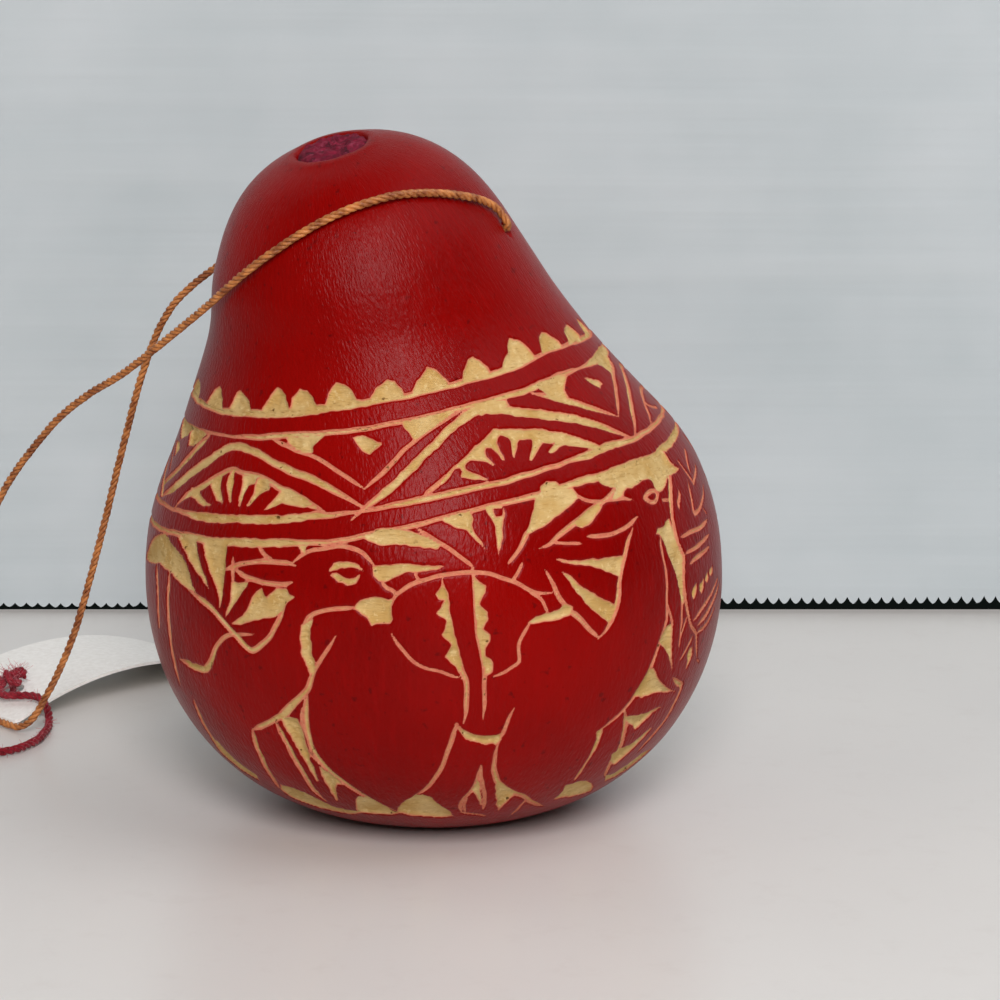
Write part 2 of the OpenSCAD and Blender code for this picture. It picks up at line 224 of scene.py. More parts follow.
def joined(parts):
    """Several lists of points and faces as one."""
    verts, faces, start = [], [], 0
    for v, f in parts:
        verts.append(v)
        faces += [tuple(start + k for k in face) for face in f]
        start += len(v)
    return np.vstack(verts), faces


SWAYS = 40  # places along a yarn at which its twist is set at random


def plied(line, plies, ply_r, offset, pitch, ring, wobble, seed):
    """Plies twisted round a line, with an uneven twist and thickness."""
    _, u, v = frames_along(line)
    dist = np.concatenate([[0], np.cumsum(np.linalg.norm(np.diff(line, axis=0), axis=1))])
    rng = np.random.default_rng(seed)
    drift = np.interp(dist, np.linspace(0, dist[-1], SWAYS), rng.normal(0, wobble, SWAYS))
    parts = []
    for k in range(plies):
        turn = 2 * np.pi * (dist / pitch + k / plies) + drift
        at = line + offset * (u * np.cos(turn)[:, None] + v * np.sin(turn)[:, None])
        thick = ply_r * (1 + 0.05 * np.sin(dist * 2.3 + k) + 0.04 * np.sin(dist * 0.71 + 2 * k))
        parts.append(tube(at, thick, ring))
    return parts


# The gourd's surface, as in the CAD: lengths in millimetres, angles in degrees
FOOT_R, BELLY_R, NECK_R = 12.5, 36.25, 20.7
HEIGHT, BELLY_Z, NECK_Z = 85.3, 29.5, 66.0
FOOT_RISE, FOOT_PULL, LOW_PULL, HIGH_PULL = 8.5, 14.5, 15, 17
FLARE_PULL, NECK_SLOPE, DOME_PULL, CROWN_PULL = 12.6, 21, 10, 14.3
LEAN_LEFT, LEAN_FRONT, LEAN_FROM, LEAN_TO = 7.5, 5, 43.4, 72.5
NOD_LEFT, NOD_FRONT, NOD_FROM = 14, 12, 52
HOLE_RIGHT_H, HOLE_RIGHT_TURN, HOLE_REAR_H, HOLE_REAR_TURN = 72.2, -14, 75.5, 128
OUTLINE_POINTS = 400


def polar(length, degrees):
    return np.array([length * math.cos(math.radians(degrees)), length * math.sin(math.radians(degrees))])


def bezier(p):
    t = np.linspace(0, 1, OUTLINE_POINTS)[:, None]
    return (1 - t) ** 3 * p[0] + 3 * (1 - t) ** 2 * t * p[1] + 3 * (1 - t) * t**2 * p[2] + t**3 * p[3]


FOOT, BELLY, NECK = np.array([FOOT_R, 0]), np.array([BELLY_R, BELLY_Z]), np.array([NECK_R, NECK_Z])
FLARE = np.array([math.sin(math.radians(NECK_SLOPE)), -math.cos(math.radians(NECK_SLOPE))])
UNDER_LINE = bezier([FOOT, FOOT + polar(FOOT_PULL, FOOT_RISE), BELLY - [0, LOW_PULL], BELLY])
SHOULDER_LINE = bezier([BELLY, BELLY + [0, HIGH_PULL], NECK + FLARE_PULL * FLARE, NECK])
DOME_LINE = bezier([NECK, NECK - DOME_PULL * FLARE, np.array([CROWN_PULL, HEIGHT]), np.array([0, HEIGHT])])
PROFILE = np.vstack([UNDER_LINE, SHOULDER_LINE[1:], DOME_LINE[1:]])
RUN = np.concatenate([[0], np.cumsum(np.linalg.norm(np.diff(PROFILE, axis=0), axis=1))])

TAN_LEFT, TAN_FRONT = math.tan(math.radians(NOD_LEFT)), math.tan(math.radians(NOD_FRONT))
NOD_TO = unit([-TAN_LEFT, -TAN_FRONT, 1])
NOD_AXIS = unit([TAN_FRONT, -TAN_LEFT, 0])
NOD_ANGLE = math.acos(NOD_TO[2])


def placed(r, h, a):
    """The point of the leaning gourd at a radius, a height and an angle in radians."""
    r, h, a = np.broadcast_arrays(np.asarray(r, float), h, a)
    lean = smooth((h - LEAN_FROM) / (LEAN_TO - LEAN_FROM))[..., None]
    nod = NOD_ANGLE * smooth((h - NOD_FROM) / (HEIGHT - NOD_FROM))[..., None]
    v = np.stack([r * np.cos(a), r * np.sin(a), h - NECK_Z], axis=-1)
    along = (v @ NOD_AXIS)[..., None] * NOD_AXIS
    turned = v * np.cos(nod) + np.cross(NOD_AXIS, v) * np.sin(nod) + along * (1 - np.cos(nod))
    return turned + lean * np.array([-LEAN_LEFT, -LEAN_FRONT, 0]) + np.array([0, 0, NECK_Z])


def skin_r(h):
    """Radius of the skin at a height above the neck point."""
    return np.interp(h, DOME_LINE[:, 1], DOME_LINE[:, 0])


CROWN_AT = placed(0.0, HEIGHT, 0.0)
HOLE_RIGHT = placed(skin_r(HOLE_RIGHT_H), HOLE_RIGHT_H, math.radians(HOLE_RIGHT_TURN))
HOLE_REAR = placed(skin_r(HOLE_REAR_H), HOLE_REAR_H, math.radians(HOLE_REAR_TURN))

# Cords: routes close to the CAD's, in millimetres
KNOT_END = np.array([-76.8, 32, 1.9])
STRAND_GAP = 1.4
FRONT_ROUTE = [
    [9.2, -10.85, 75.05], [8.7, -10.9, 75.8], [8.25, -11, 76.5], [7.4, -11.6, 77.3], [6, -13.1, 78.1],
    [4.4, -14.7, 78.7], [1.2, -17.1, 79.4], [-2.6, -19.2, 79.6], [-6, -20.6, 79.1], [-10.5, -21.5, 77.6],
    [-15.2, -21.4, 75.1],
    [-20.1, -19.7, 71.6], [-22.7, -17.9, 69.4], [-24.8, -15.8, 67.4], [-27, -12.9, 65.2], [-29.9, -9.4, 62.5],
    [-34.9, -4.2, 58], [-39, 0, 54.5], [-43.2, 3.4, 51.6], [-47.4, 6.8, 48], [-51, 9.7, 43.8],
    [-54.1, 12.2, 39.7], [-56.7, 14.5, 35.4], [-59.4, 17.2, 29.6], [-62, 19.9, 23], [-64.6, 22.6, 15.9],
    [-67.1, 25.1, 9], [-69.6, 27.4, 3.8], [-72, 29.3, 1.4], [-74.4, 30.7, 1.3],
]
BACK_ROUTE = [
    [-20.8, 7.4, 75.3], [-21.8, 8.1, 74.5], [-22.3, 8.4, 73], [-22.8, 8.5, 71], [-23.5, 8.7, 69.4],
    [-25, 9.7, 68], [-27, 11.2, 66.9], [-28.9, 12.6, 65.5], [-30.9, 13.8, 63.8], [-33.3, 15, 61.4],
    [-35.3, 16.5, 58.3], [-37, 18, 54.5], [-38.7, 19.6, 49.7],
    [-40.3, 21, 44.2], [-42.1, 22.5, 37.8], [-44, 24, 30.8], [-46.3, 25.5, 22.7], [-48.7, 27, 15],
    [-51, 28, 9.4], [-53, 28.5, 5.5], [-55, 28.9, 2.2], [-56.8, 29.7, 0.9], [-58.4, 31.2, 0.7],
    [-60, 33, 0.7], [-62.6, 34.7, 0.7], [-66.2, 35.5, 0.7], [-70, 35.2, 0.75], [-73.6, 33.8, 1.2],
]
YARN_ROUTE = [
    [-61, 41.4, 2.9], [-60.4, 39.6, 2.7], [-58.4, 38.9, 2.8], [-56.2, 37.9, 3], [-54.7, 36.4, 2.9],
    [-53.6, 34.4, 1.8], [-53.1, 31.4, 0.8], [-53.2, 27.9, 0.7], [-53.9, 23.4, 0.7], [-56.2, 19.2, 0.7],
    [-59.6, 17.3, 0.7], [-63.6, 17.9, 0.7], [-67, 20.8, 0.7], [-68.8, 25.1, 0.7], [-69.2, 29.8, 1],
    [-68.9, 33.4, 2.1], [-68.3, 36.6, 2.1], [-66.6, 39.9, 1.5], [-64.4, 42.3, 2.2],
]
KNOT_TIPS = [[-86.2, 30.2, 0.75], [-85.6, 34.4, 0.75]]
TAG_CORNER = np.array([-57.8, 33.8, 0])
TAG_L, TAG_T, TAG_CURL_R = 41, 0.4, 52
TAG_HOLE_IN, TAG_HOLE_UP, TAG_HOLE_R, YARN_KNOT_R = 5.5, 8, 1.6, 1.6
TAG_DIR, TAG_SIDE = unit([1, 1, 0]), unit([-1, 1, 0])


def tag_top(s):
    """Height of the curled card's upper side at a length along it."""
    inner = math.sqrt(TAG_CURL_R**2 - (TAG_L / 2) ** 2)
    return np.sqrt((TAG_CURL_R + TAG_T) ** 2 - (s - TAG_L / 2) ** 2) - inner


KNOT_H = float(tag_top(TAG_HOLE_IN + TAG_HOLE_R)) + YARN_KNOT_R
YARN_KNOT_AT = TAG_CORNER + TAG_HOLE_IN * TAG_DIR + TAG_HOLE_UP * TAG_SIDE + np.array([0, 0, KNOT_H])

front_line = curve_through([HOLE_RIGHT, *FRONT_ROUTE, KNOT_END - [0, STRAND_GAP / 2, 0]], 0.2)
back_line = curve_through([HOLE_REAR, *BACK_ROUTE, KNOT_END + [0, STRAND_GAP / 2, 0]], 0.2)
yarn_from = YARN_KNOT_AT + YARN_KNOT_R * unit([-0.9, -1, -0.35])
yarn_to = YARN_KNOT_AT + YARN_KNOT_R * unit([-1, 0.1, -0.35])
yarn_line = curve_through([yarn_from, *YARN_ROUTE, yarn_to], 0.25)


def line_length(line):
    """The length of a line of points in millimetres, in metres."""
    return float(np.linalg.norm(np.diff(line, axis=0), axis=1).sum()) * MM


# Waxed cord: satin, orange tan mottled with brown, with paler fibres; the light mottles are partly painted
# glints and the dark ones partly painted shade between the plies
waxed, t, s = new_material("waxed_cord")
where = object_coords(t)
tone = noise_at(t, where, 520, 2, 0.6)
fibre = noise_at(t, where, 2600, 2, 0.6)
# The mottling is partly the cord's own tone and partly painted glints and painted shade between the plies
base = mix(t, span(t, tone, 0.36, 0.64), lin("#7E3D12"), lin("#C47C3E"))
base = mix(t, span(t, fibre, 0.45, 0.75, 0, 0.35), base, lin("#DDA265"))
plug(t, s, Base_Color=base, Roughness=0.5, Specular_IOR_Level=0.45)
plug(t, s, Normal=bumped(t, fibre, 0.00006, 0.7))

# Wool yarn: soft and matt, dark red with paler clouds
wool, t, s = new_material("wool_yarn")
where = object_coords(t)
grain = noise_at(t, where, 1900, 2, 0.7)
cloud = noise_at(t, where, 140, 2)
base = mix(t, span(t, grain, 0.3, 0.7), lin("#640914"), lin("#98202E"))
plug(t, s, Base_Color=mix(t, span(t, cloud, 0.5, 0.8, 0, 0.3), base, lin("#BE5560")), Roughness=0.95)
plug(t, s, Sheen_Weight=0.15, Sheen_Roughness=0.4, Specular_IOR_Level=0.2)
plug(t, s, Normal=bumped(t, grain, 0.0002, 0.8))

# Wool fuzz: single fibres that catch the light, paler than the yarn
fuzz_mat, t, s = new_material("wool_fuzz")
plug(t, s, Base_Color=lin("#C65A66"), Roughness=0.9, Sheen_Weight=0.3)


def overhand_knot(centre, size):
    """The middle line of a knot pulled tight, lying along X."""
    p = np.linspace(0, 2 * np.pi, 140)
    x = 0.42 * np.cos(2 * p) + 0.2 * np.cos(p) + 0.1 * np.sin(3 * p)
    y = (np.sin(p) + 1.35 * np.sin(2 * p)) * 0.3
    z = np.sin(3 * p) * 0.28
    return np.asarray(centre) + np.stack([x, y, z], axis=1) * size


def cord_object(name, line, seed):
    parts = plied(line, plies=3, ply_r=0.25, offset=0.26, pitch=2.9, ring=7, wobble=0.15, seed=seed)
    return mesh_object(name, *joined(parts), waxed)


def knot_strand(points, seed):
    """The cord as it is drawn in its knot and tails: two thicker plies."""
    line = curve_through(points, 0.25)
    return plied(line, plies=2, ply_r=0.33, offset=0.26, pitch=3.0, ring=8, wobble=0.1, seed=seed)


front_strand = cord_object("cord_front", front_line, 3)
back_strand = cord_object("cord_back", back_line, 4)
inside_line = curve_through([HOLE_REAR, (HOLE_REAR + HOLE_RIGHT) / 2, HOLE_RIGHT], 0.3)
inside_strand = cord_object("cord_through_neck", inside_line, 5)
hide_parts("cord_inside")

knot_centre = KNOT_END + [-2.4, 0, 0]
knot_parts = []
for gap, seed in ((-0.35, 6), (0.35, 7)):
    turn = overhand_knot(knot_centre + [0, 0, gap * 0.5], 3.3)
    knot_parts += knot_strand(turn[::6], seed)
for tip, side, seed in ((KNOT_TIPS[0], -1, 8), (KNOT_TIPS[1], 1, 9)):
    start = KNOT_END + [-4.2, 0.5 * side, -0.2]
    middle = (start + np.array(tip)) / 2 + [0, 0.5 * side, -0.2]
    knot_parts += knot_strand([start, middle, tip], seed)
# The tails are frayed at their tips
rng = random.Random(12)
for tip in KNOT_TIPS:
    for _ in range(16):
        a, lift = rng.uniform(-0.7, 0.7), rng.uniform(-0.1, 0.5)
        far = np.array(tip) + [-1.5 * math.cos(a) * rng.uniform(0.3, 1), 1.5 * math.sin(a), lift * 0.6]
        knot_parts.append(tube(curve_through([np.array(tip) + [0.4, 0, 0], far], 0.4), 0.05, 4))
cord_knot = mesh_object("cord_knot_tied", *joined(knot_parts), waxed)
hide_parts("cord_knot")

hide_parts("cord_front_strand")
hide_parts("cord_back_strand")


def with_fuzz(line, radius, per_mm, seed, reach):
    """Loose fibres standing off a yarn."""
    rng = random.Random(seed)
    _, u, v = frames_along(line)
    parts = []
    for _ in range(int(per_mm * line_length(line) / MM)):
        k = rng.randrange(2, len(line) - 2)
        a = rng.uniform(0, 2 * math.pi)
        out = u[k] * math.cos(a) + v[k] * math.sin(a)
        drift = np.array([rng.uniform(-1, 1), rng.uniform(-1, 1), rng.uniform(-0.3, 0.6)])
        long = rng.uniform(*reach)
        p0 = line[k] + out * radius * 0.8
        p1 = p0 + (out + 0.8 * drift) * long * 0.45
        p2 = p1 + (0.5 * out + drift) * long * 0.4
        pts = np.array([p0, p1, p2])
        pts[:, 2] = np.maximum(pts[:, 2], 0.06)
        parts.append(tube(curve_through(pts, 0.3), 0.022, 3))
    return parts


yarn_plies = plied(yarn_line, plies=3, ply_r=0.3, offset=0.27, pitch=3.4, ring=8, wobble=0.2, seed=21)
yarn = mesh_object("tag_yarn_loop", *joined(yarn_plies), wool)
yarn_hairs = with_fuzz(yarn_line, radius=0.58, per_mm=4, seed=22, reach=(0.3, 0.9))
yarn_fuzz = mesh_object("tag_yarn_fuzz", *joined(yarn_hairs), fuzz_mat)
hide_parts("tag_yarn")

knot_line = curve_through(overhand_knot(YARN_KNOT_AT + [0, 0, -0.2], 2.3)[::7], 0.25)
knot_line[:, 2] = np.maximum(knot_line[:, 2], YARN_KNOT_AT[2] - 1.3)
yarn_parts = plied(knot_line, plies=3, ply_r=0.3, offset=0.27, pitch=3.0, ring=7, wobble=0.2, seed=23)
down = curve_through([YARN_KNOT_AT + [0, 0, -drop] for drop in (0.4, 1.8, 2.8)], 0.25)
yarn_parts += plied(down, plies=3, ply_r=0.28, offset=0.25, pitch=3.0, ring=7, wobble=0.1, seed=24)
yarn_knot = mesh_object("tag_yarn_knot", *joined(yarn_parts), wool)
knot_hairs = with_fuzz(knot_line, radius=0.55, per_mm=14, seed=25, reach=(0.8, 1.6))
knot_fuzz = mesh_object("tag_yarn_knot_fuzz", *joined(knot_hairs), fuzz_mat)
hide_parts("yarn_knot")

# The carving
# Places are (angle, level): degrees round a tilted axis, -90 to the camera, and millimetres up that axis.
TILT = math.radians(8.7)
AXIS = np.array([-math.sin(TILT), 0, math.cos(TILT)])
ACROSS = np.array([math.cos(TILT), 0, math.sin(TILT)])
MIDDLE = np.array([0, 0, BELLY_Z])

strokes = []  # (points, widths): a gouged line
fills = []  # points: a cleared patch
spared = []  # points: a spot left red inside a cleared patch
groove_shade_lines = []  # points: painted shade, a dark line along the bottom of a deep line


DEGREE = np.array([0.6, 1])  # a degree round the belly is about 0.6 mm, a level is in millimetres already
TIP_SHARE, TIP_WIDTH = 0.12, 0.35  # a line thins over this share of its length, to this share of its width
BAND_RUN = 40  # points in each run of a line that goes all the way round


def line(width, *points, ends="both"):
    """A gouged line that thins towards its ends; width is in millimetres, or a list of one for each point."""
    pts = np.array(points, float)
    wide = np.broadcast_to(np.asarray(width, float), len(pts))
    if len(pts) > 2:
        fine = curve_through(np.column_stack([pts * DEGREE, wide]), 0.5)
        pts, wide = fine[:, :2] / DEGREE, fine[:, 2]
    if len(pts) == 2:
        share = np.linspace(0, 1, 6)
        pts = pts[0] + (pts[1] - pts[0]) * share[:, None]
        wide = np.interp(share, [0, 1], wide)
    run = np.linspace(0, 1, len(pts))
    thin = np.ones(len(pts))
    if ends == "both":
        thin *= np.clip(run / TIP_SHARE * (1 - TIP_WIDTH) + TIP_WIDTH, 0, 1)
    if ends in ("both", "end"):
        thin *= np.clip((1 - run) / TIP_SHARE * (1 - TIP_WIDTH) + TIP_WIDTH, 0, 1)
    strokes.append((pts, wide * thin))


def band(rows):
    """A line all the way round from rows of (angle, level, width), and a dark line of painted shade near its
    middle, as at the bottom of a deep V-cut.
    """
    rows = np.array(rows, float)
    fine = curve_through(np.column_stack([rows[:, :2] * DEGREE, rows[:, 2]]), 0.8)
    pts, wide = fine[:, :2] / DEGREE, fine[:, 2]
    for k in range(0, len(pts) - 1, BAND_RUN):
        run = slice(k, k + BAND_RUN + 1)
        strokes.append((pts[run], wide[run]))
        # a line of painted shade, just above the middle of the cut
        groove_shade_lines.append(pts[run] + [0, 0.12])


def fill(*points):
    """A cleared patch."""
    fills.append(np.array(points, float))


def spare(*points):
    """A spot left red inside a cleared patch."""
    spared.append(np.array(points, float))


def moved(motif, to, about=-90.0, mirror=False, lift=0.0, spread=1.0):
    """Cuts the same motif elsewhere, turned round the gourd and perhaps mirrored."""
    first_stroke, first_fill = len(strokes), len(fills)
    motif()
    sign = -1 if mirror else 1

    def shift(p):
        return np.column_stack([to + sign * spread * (p[:, 0] - about), p[:, 1] + lift])

    for k in range(first_stroke, len(strokes)):
        strokes[k] = (shift(strokes[k][0]), strokes[k][1])
    for k in range(first_fill, len(fills)):
        fills[k] = shift(fills[k])


# The four level lines
band([(-180, 57.3, 0.9), (-170, 57.5, 0.9), (-160, 57.3, 0.9), (-150, 57, 0.8), (-140, 56.7, 0.9),
      (-130, 56.6, 1), (-120, 56.6, 1.1), (-105, 56.85, 1.1), (-90, 57, 0.8), (-80, 57.2, 0.8),
      (-68, 57.4, 0.8), (-60, 57.45, 0.9), (-52, 57.75, 0.7), (-45, 58, 0.45), (-38, 58, 0.45),
      (-30, 57.8, 0.6), (-20, 57.5, 0.8), (-10, 57.2, 0.7), (5, 57.1, 0.8), (30, 57.3, 0.9),
      (60, 57.5, 0.7), (90, 57.4, 0.9), (120, 57.6, 0.8), (150, 57.4, 0.8), (180, 57.3, 0.9)])
band([(-180, 54, 0.9), (-170, 54, 0.9), (-160, 54.1, 0.9), (-150, 54.1, 0.6), (-143, 54.05, 0.35),
      (-135, 54, 0.4), (-128, 54, 0.7), (-118, 54.1, 0.8), (-105, 54.1, 0.7), (-95, 54.2, 0.6),
      (-85, 54.4, 0.6), (-75, 54.6, 0.7), (-65, 54.75, 0.8), (-55, 54.8, 0.9), (-47, 55.1, 0.8),
      (-40, 55.15, 0.7), (-35, 55.05, 0.35), (-30, 55, 0.6), (-24, 55, 1.1), (-15, 55, 1.6),
      (-8, 54.9, 1.4), (5, 54.7, 0.8), (40, 54.5, 0.7), (70, 54.4, 0.9), (100, 54.5, 0.6), (140, 54.2, 0.8),
      (180, 54, 0.9)])
band([(-180, 45.1, 0.8), (-165, 45.2, 0.6), (-155, 45.2, 0.5), (-148, 45.2, 0.7), (-140, 45, 1.2),
      (-130, 45.05, 1), (-122, 45, 1.1), (-110, 45.1, 0.9), (-100, 45.2, 0.4), (-90, 45.45, 0.8),
      (-80, 45.7, 0.8), (-70, 45.8, 0.8), (-65, 45.9, 0.8), (-55, 46.1, 0.6), (-48, 46.2, 1),
      (-40, 46.3, 1), (-33, 45.9, 0.8), (-25, 45.9, 0.7), (-15, 45.9, 0.7), (0, 45.8, 0.7), (40, 45.6, 0.9),
      (90, 45.4, 0.8), (140, 45.3, 0.9), (180, 45.1, 0.8)])
band([(-180, 42.4, 0.9), (-165, 42.5, 0.8), (-155, 42.65, 0.7), (-145, 42.7, 0.8), (-135, 42.5, 1),
      (-120, 42.45, 1), (-110, 42.25, 0.7), (-103, 42.25, 0.6), (-97, 42.6, 0.7), (-90, 42.9, 0.6),
      (-84, 43.2, 0.6), (-75, 43.5, 0.6), (-65, 43.5, 0.75), (-55, 43.65, 0.9), (-47, 43.5, 1),
      (-40, 43.4, 1.2), (-30, 43.2, 1.1), (-20, 43.35, 1.1), (-10, 43.5, 1.1), (5, 43.4, 0.8),
      (40, 43.1, 0.9), (90, 42.8, 0.9), (140, 42.6, 0.9), (180, 42.4, 0.9)])

# Scallops standing on the top line
fill((-172, 57.6), (-169, 58.7), (-165, 59.4), (-161, 59), (-158.3, 58.2), (-158, 57.5))
fill((-151.5, 57.1), (-149, 58.2), (-147, 58.9), (-145, 59.3), (-143.5, 58.9), (-142, 57.9), (-141.5, 56.9))
fill((-138.3, 56.8), (-137, 58), (-136, 58.8), (-134.5, 59.1), (-132.5, 58.7), (-130.5, 58), (-129.3, 56.8))
fill((-126, 56.8), (-124.5, 57.9), (-122.8, 58.8), (-121, 59.5), (-119.5, 59.2), (-118.5, 58.5),
     (-117.3, 56.9))
fill((-117, 56.9), (-116.3, 58.3), (-114, 59.2), (-112, 58.9), (-110.5, 58), (-109, 56.9))
fill((-107.5, 56.9), (-106, 58.4), (-104, 59.5), (-102, 59.2), (-100.3, 58.4), (-99, 57))
fill((-96, 57), (-94, 58.3), (-91, 59.1), (-89, 58.9), (-87.8, 58), (-87, 57))
fill((-85.5, 57.1), (-83.5, 58.4), (-80.5, 59.8), (-78.3, 59.2), (-76.5, 58.2), (-75.5, 57.2))
fill((-72.5, 57.3), (-70.5, 58.7), (-69, 59.6), (-67.5, 59.8), (-66, 59.3), (-64.5, 58.4), (-64, 57.4))
fill((-60.5, 57.5), (-58.5, 58.7), (-57, 59.2), (-56, 60.2), (-54.5, 60.7), (-52.5, 60.3), (-50.5, 59.7),
     (-49.3, 58.9), (-48.5, 57.8))
fill((-45.5, 58), (-44.3, 59), (-43.2, 59.8), (-41.5, 60.2), (-39.5, 60), (-37.5, 59.3), (-35.8, 58.7),
     (-35.5, 57.9))
fill((-31.2, 57.8), (-30.3, 59.1), (-28.5, 59.6), (-26.5, 59.8), (-24.8, 59.5), (-23, 58.7), (-22, 57.6))
hand = random.Random(41)
for k in range(15):
    a, tall = -13 + 13.05 * k, hand.uniform(1.9, 2.6)
    half, skew, foot = hand.uniform(3.8, 5), hand.uniform(-1, 1), 57.3
    fill((a - half, foot), (a - 0.8 * half, foot + 0.5 * tall), (a - 0.3 * half + skew, foot + 0.95 * tall),
         (a + 0.2 * half + skew, foot + tall), (a + 0.7 * half, foot + 0.6 * tall), (a + half, foot))

# Zigzag between the second and third lines: a thick line, a thin companion and filled corners
line([1.2, 1.25, 1.2, 1.2, 1.2, 1.1, 1, 1, 1, 0.9, 0.9, 0.9, 0.9, 0.9], (-165, 45.9), (-160, 46.9),
     (-155, 48.1), (-150, 49.6), (-145, 50.7), (-140, 52), (-136, 52.7), (-132.5, 52.85), (-128, 52.5),
     (-124, 51.9), (-120, 50.95), (-112, 49.4), (-107, 48.2), (-99.5, 45.7))
line([0.6, 0.9, 1, 1, 1, 1, 1.1, 1.2, 1.2, 1.2, 1.2, 1.2, 1.2, 1.1, 1, 0.9], (-102, 44.3), (-99, 45.5),
     (-95, 46.7), (-90, 48.5), (-85, 50.3), (-80, 52), (-75, 53.4), (-70, 54), (-65, 53.45), (-60, 52.6),
     (-55, 51.8), (-50, 50.9), (-45, 49.8), (-40, 48.6), (-36, 47.3), (-32.3, 46.1))
line(0.85, (-170, 46.7), (-165, 47.8), (-160, 49.1), (-155, 50.8), (-150, 52.5), (-145.5, 53.8))
line(0.5, (-122, 53.8), (-118, 53), (-111, 51.7), (-105, 50), (-98.7, 47.5))
line(0.5, (-98.7, 47.5), (-94, 49.3), (-89, 51.2), (-84.5, 52.5), (-79, 53.7), (-75, 54.3))
line([0.5, 0.7, 1, 0.9, 0.8, 0.5, 0.35], (-55, 54.2), (-51, 53.5), (-47, 52.6), (-43, 51.6), (-39, 50.6),
     (-35, 49.5), (-32, 48.6))
fill((-118, 53.9), (-107, 54), (-110.5, 52.6), (-110.5, 51.9), (-113, 52.2), (-117, 53.1))
fill((-89, 54.3), (-87, 52.7), (-86.5, 52.1), (-83.5, 52.6), (-79.5, 53.7), (-75, 54.5), (-80, 54.7))
fill((-158.5, 53.3), (-157, 52.2), (-153.5, 52.3), (-150.5, 53), (-147.5, 53.8), (-152, 54.3), (-158, 54))
fill((-53, 54.8), (-50.5, 53.5), (-46, 51.9), (-45, 52.8), (-44.9, 53.5), (-43, 54.3), (-41, 54.9),
     (-45, 55.3))
fill((-24, 54.5), (-22, 54), (-20.5, 53.2), (-19.5, 52.7), (-17, 53), (-13, 53.7), (-10, 54.5), (-12, 55))
fill((-100.5, 53.3), (-98.5, 53.5), (-94, 52.3), (-97, 51.3), (-98.5, 51.8))
fill((-35, 53.9), (-33, 53.6), (-29.5, 53), (-28.8, 52.4), (-31, 52.1), (-33, 52.8))
fill((-171.5, 51.7), (-167, 51.9), (-163.8, 51.2), (-167, 50.2), (-169.5, 51))

# Half flowers under the zigzag: red petals left between cleared wedges
line([0.5, 0.9, 1, 0.8, 0.7, 0.6, 0.6, 0.7, 0.7, 0.8, 0.9, 0.9, 0.6], (-154, 45.3), (-150, 46.8),
     (-146, 47.7), (-141, 48.9), (-137, 49.9), (-133.5, 50.45), (-130.5, 50.1), (-125, 49.6), (-121, 48.9),
     (-118.5, 48.3), (-115, 47.6), (-111, 46.4), (-107.8, 45.5))
fill((-148, 47.9), (-145, 47.9), (-143, 47.2), (-138.7, 46.4), (-141, 46.2), (-145, 46.8), (-148, 47.1))
fill((-141.5, 49), (-137.3, 49.9), (-137, 49.2), (-136.8, 48.3), (-135.5, 47.3), (-134.7, 46.7), (-137, 47),
     (-138.5, 47.6), (-140, 48.3))
fill((-134.7, 49.2), (-133.8, 50.4), (-132.8, 50.4), (-132.6, 49.3), (-132.4, 47.9), (-132.1, 46.7),
     (-133.5, 47.6), (-134.6, 48.6))
fill((-130, 49.8), (-128.3, 49.8), (-125.5, 49.6), (-125.4, 48.9), (-127.8, 48.7), (-128.4, 48),
     (-129.2, 46.4), (-129.6, 46.4), (-129.8, 47.5), (-129.4, 48.6))
fill((-125.2, 49.6), (-122, 49.2), (-121.5, 48.3), (-124, 47.8), (-126.5, 46.4), (-127.2, 46.5),
     (-125.8, 47.8))
fill((-122.3, 46), (-119.5, 47.4), (-118.3, 48.3), (-114, 47.2), (-109, 45.7), (-113, 46.2), (-118, 46.7))
line([0.5, 0.6, 0.6], (-86.5, 45.9), (-83.5, 46.8), (-80.5, 47.8))
fill((-82.6, 47.3), (-80, 48.2), (-76.4, 49.3), (-73.5, 50.2), (-71.5, 50.7), (-69, 51.2), (-68.1, 51.5),
     (-64.6, 51.2), (-61.6, 50.8), (-58.4, 50.5), (-55.3, 49.9), (-51.9, 49.3), (-49.9, 48.8),
     (-47.8, 48.1), (-45.4, 47.3), (-43.6, 46.7), (-44, 46.4), (-46.9, 46.8), (-50.3, 47.5), (-52.9, 47.9),
     (-54.4, 47.9), (-57.3, 47.6), (-57.4, 47.8), (-55.9, 48.2), (-55, 48.5), (-57.8, 48.9), (-58.9, 48.6),
     (-60.9, 47.7), (-62, 47.3), (-62.4, 47.4), (-61.4, 48.2), (-59.9, 49.4), (-60.2, 49.6), (-63, 49.9),
     (-63.8, 49.6), (-64.7, 48.8), (-65.6, 48.1), (-65.8, 48.1), (-65.5, 49.1), (-65.1, 50), (-65.4, 50.4),
     (-67.1, 50.8), (-67.9, 50.6), (-68.4, 50), (-68.3, 49), (-68, 48), (-68.4, 48.1), (-69.3, 49.1),
     (-69.9, 49.8), (-71.3, 50), (-71.8, 49.5), (-71.7, 48.9), (-70.4, 47.8), (-70.8, 47.8), (-71.8, 48.3),
     (-72.7, 48.6), (-74.2, 48.8), (-75.6, 49), (-76.9, 48.5), (-77, 48), (-75.2, 47.3), (-72.8, 46.4),
     (-75.2, 46.7), (-78.3, 47.2), (-77.7, 47.7), (-77.8, 48.2), (-78.4, 48.3), (-79.3, 48.2),
     (-79.9, 47.8), (-81.6, 47.1), (-82.9, 46.7))


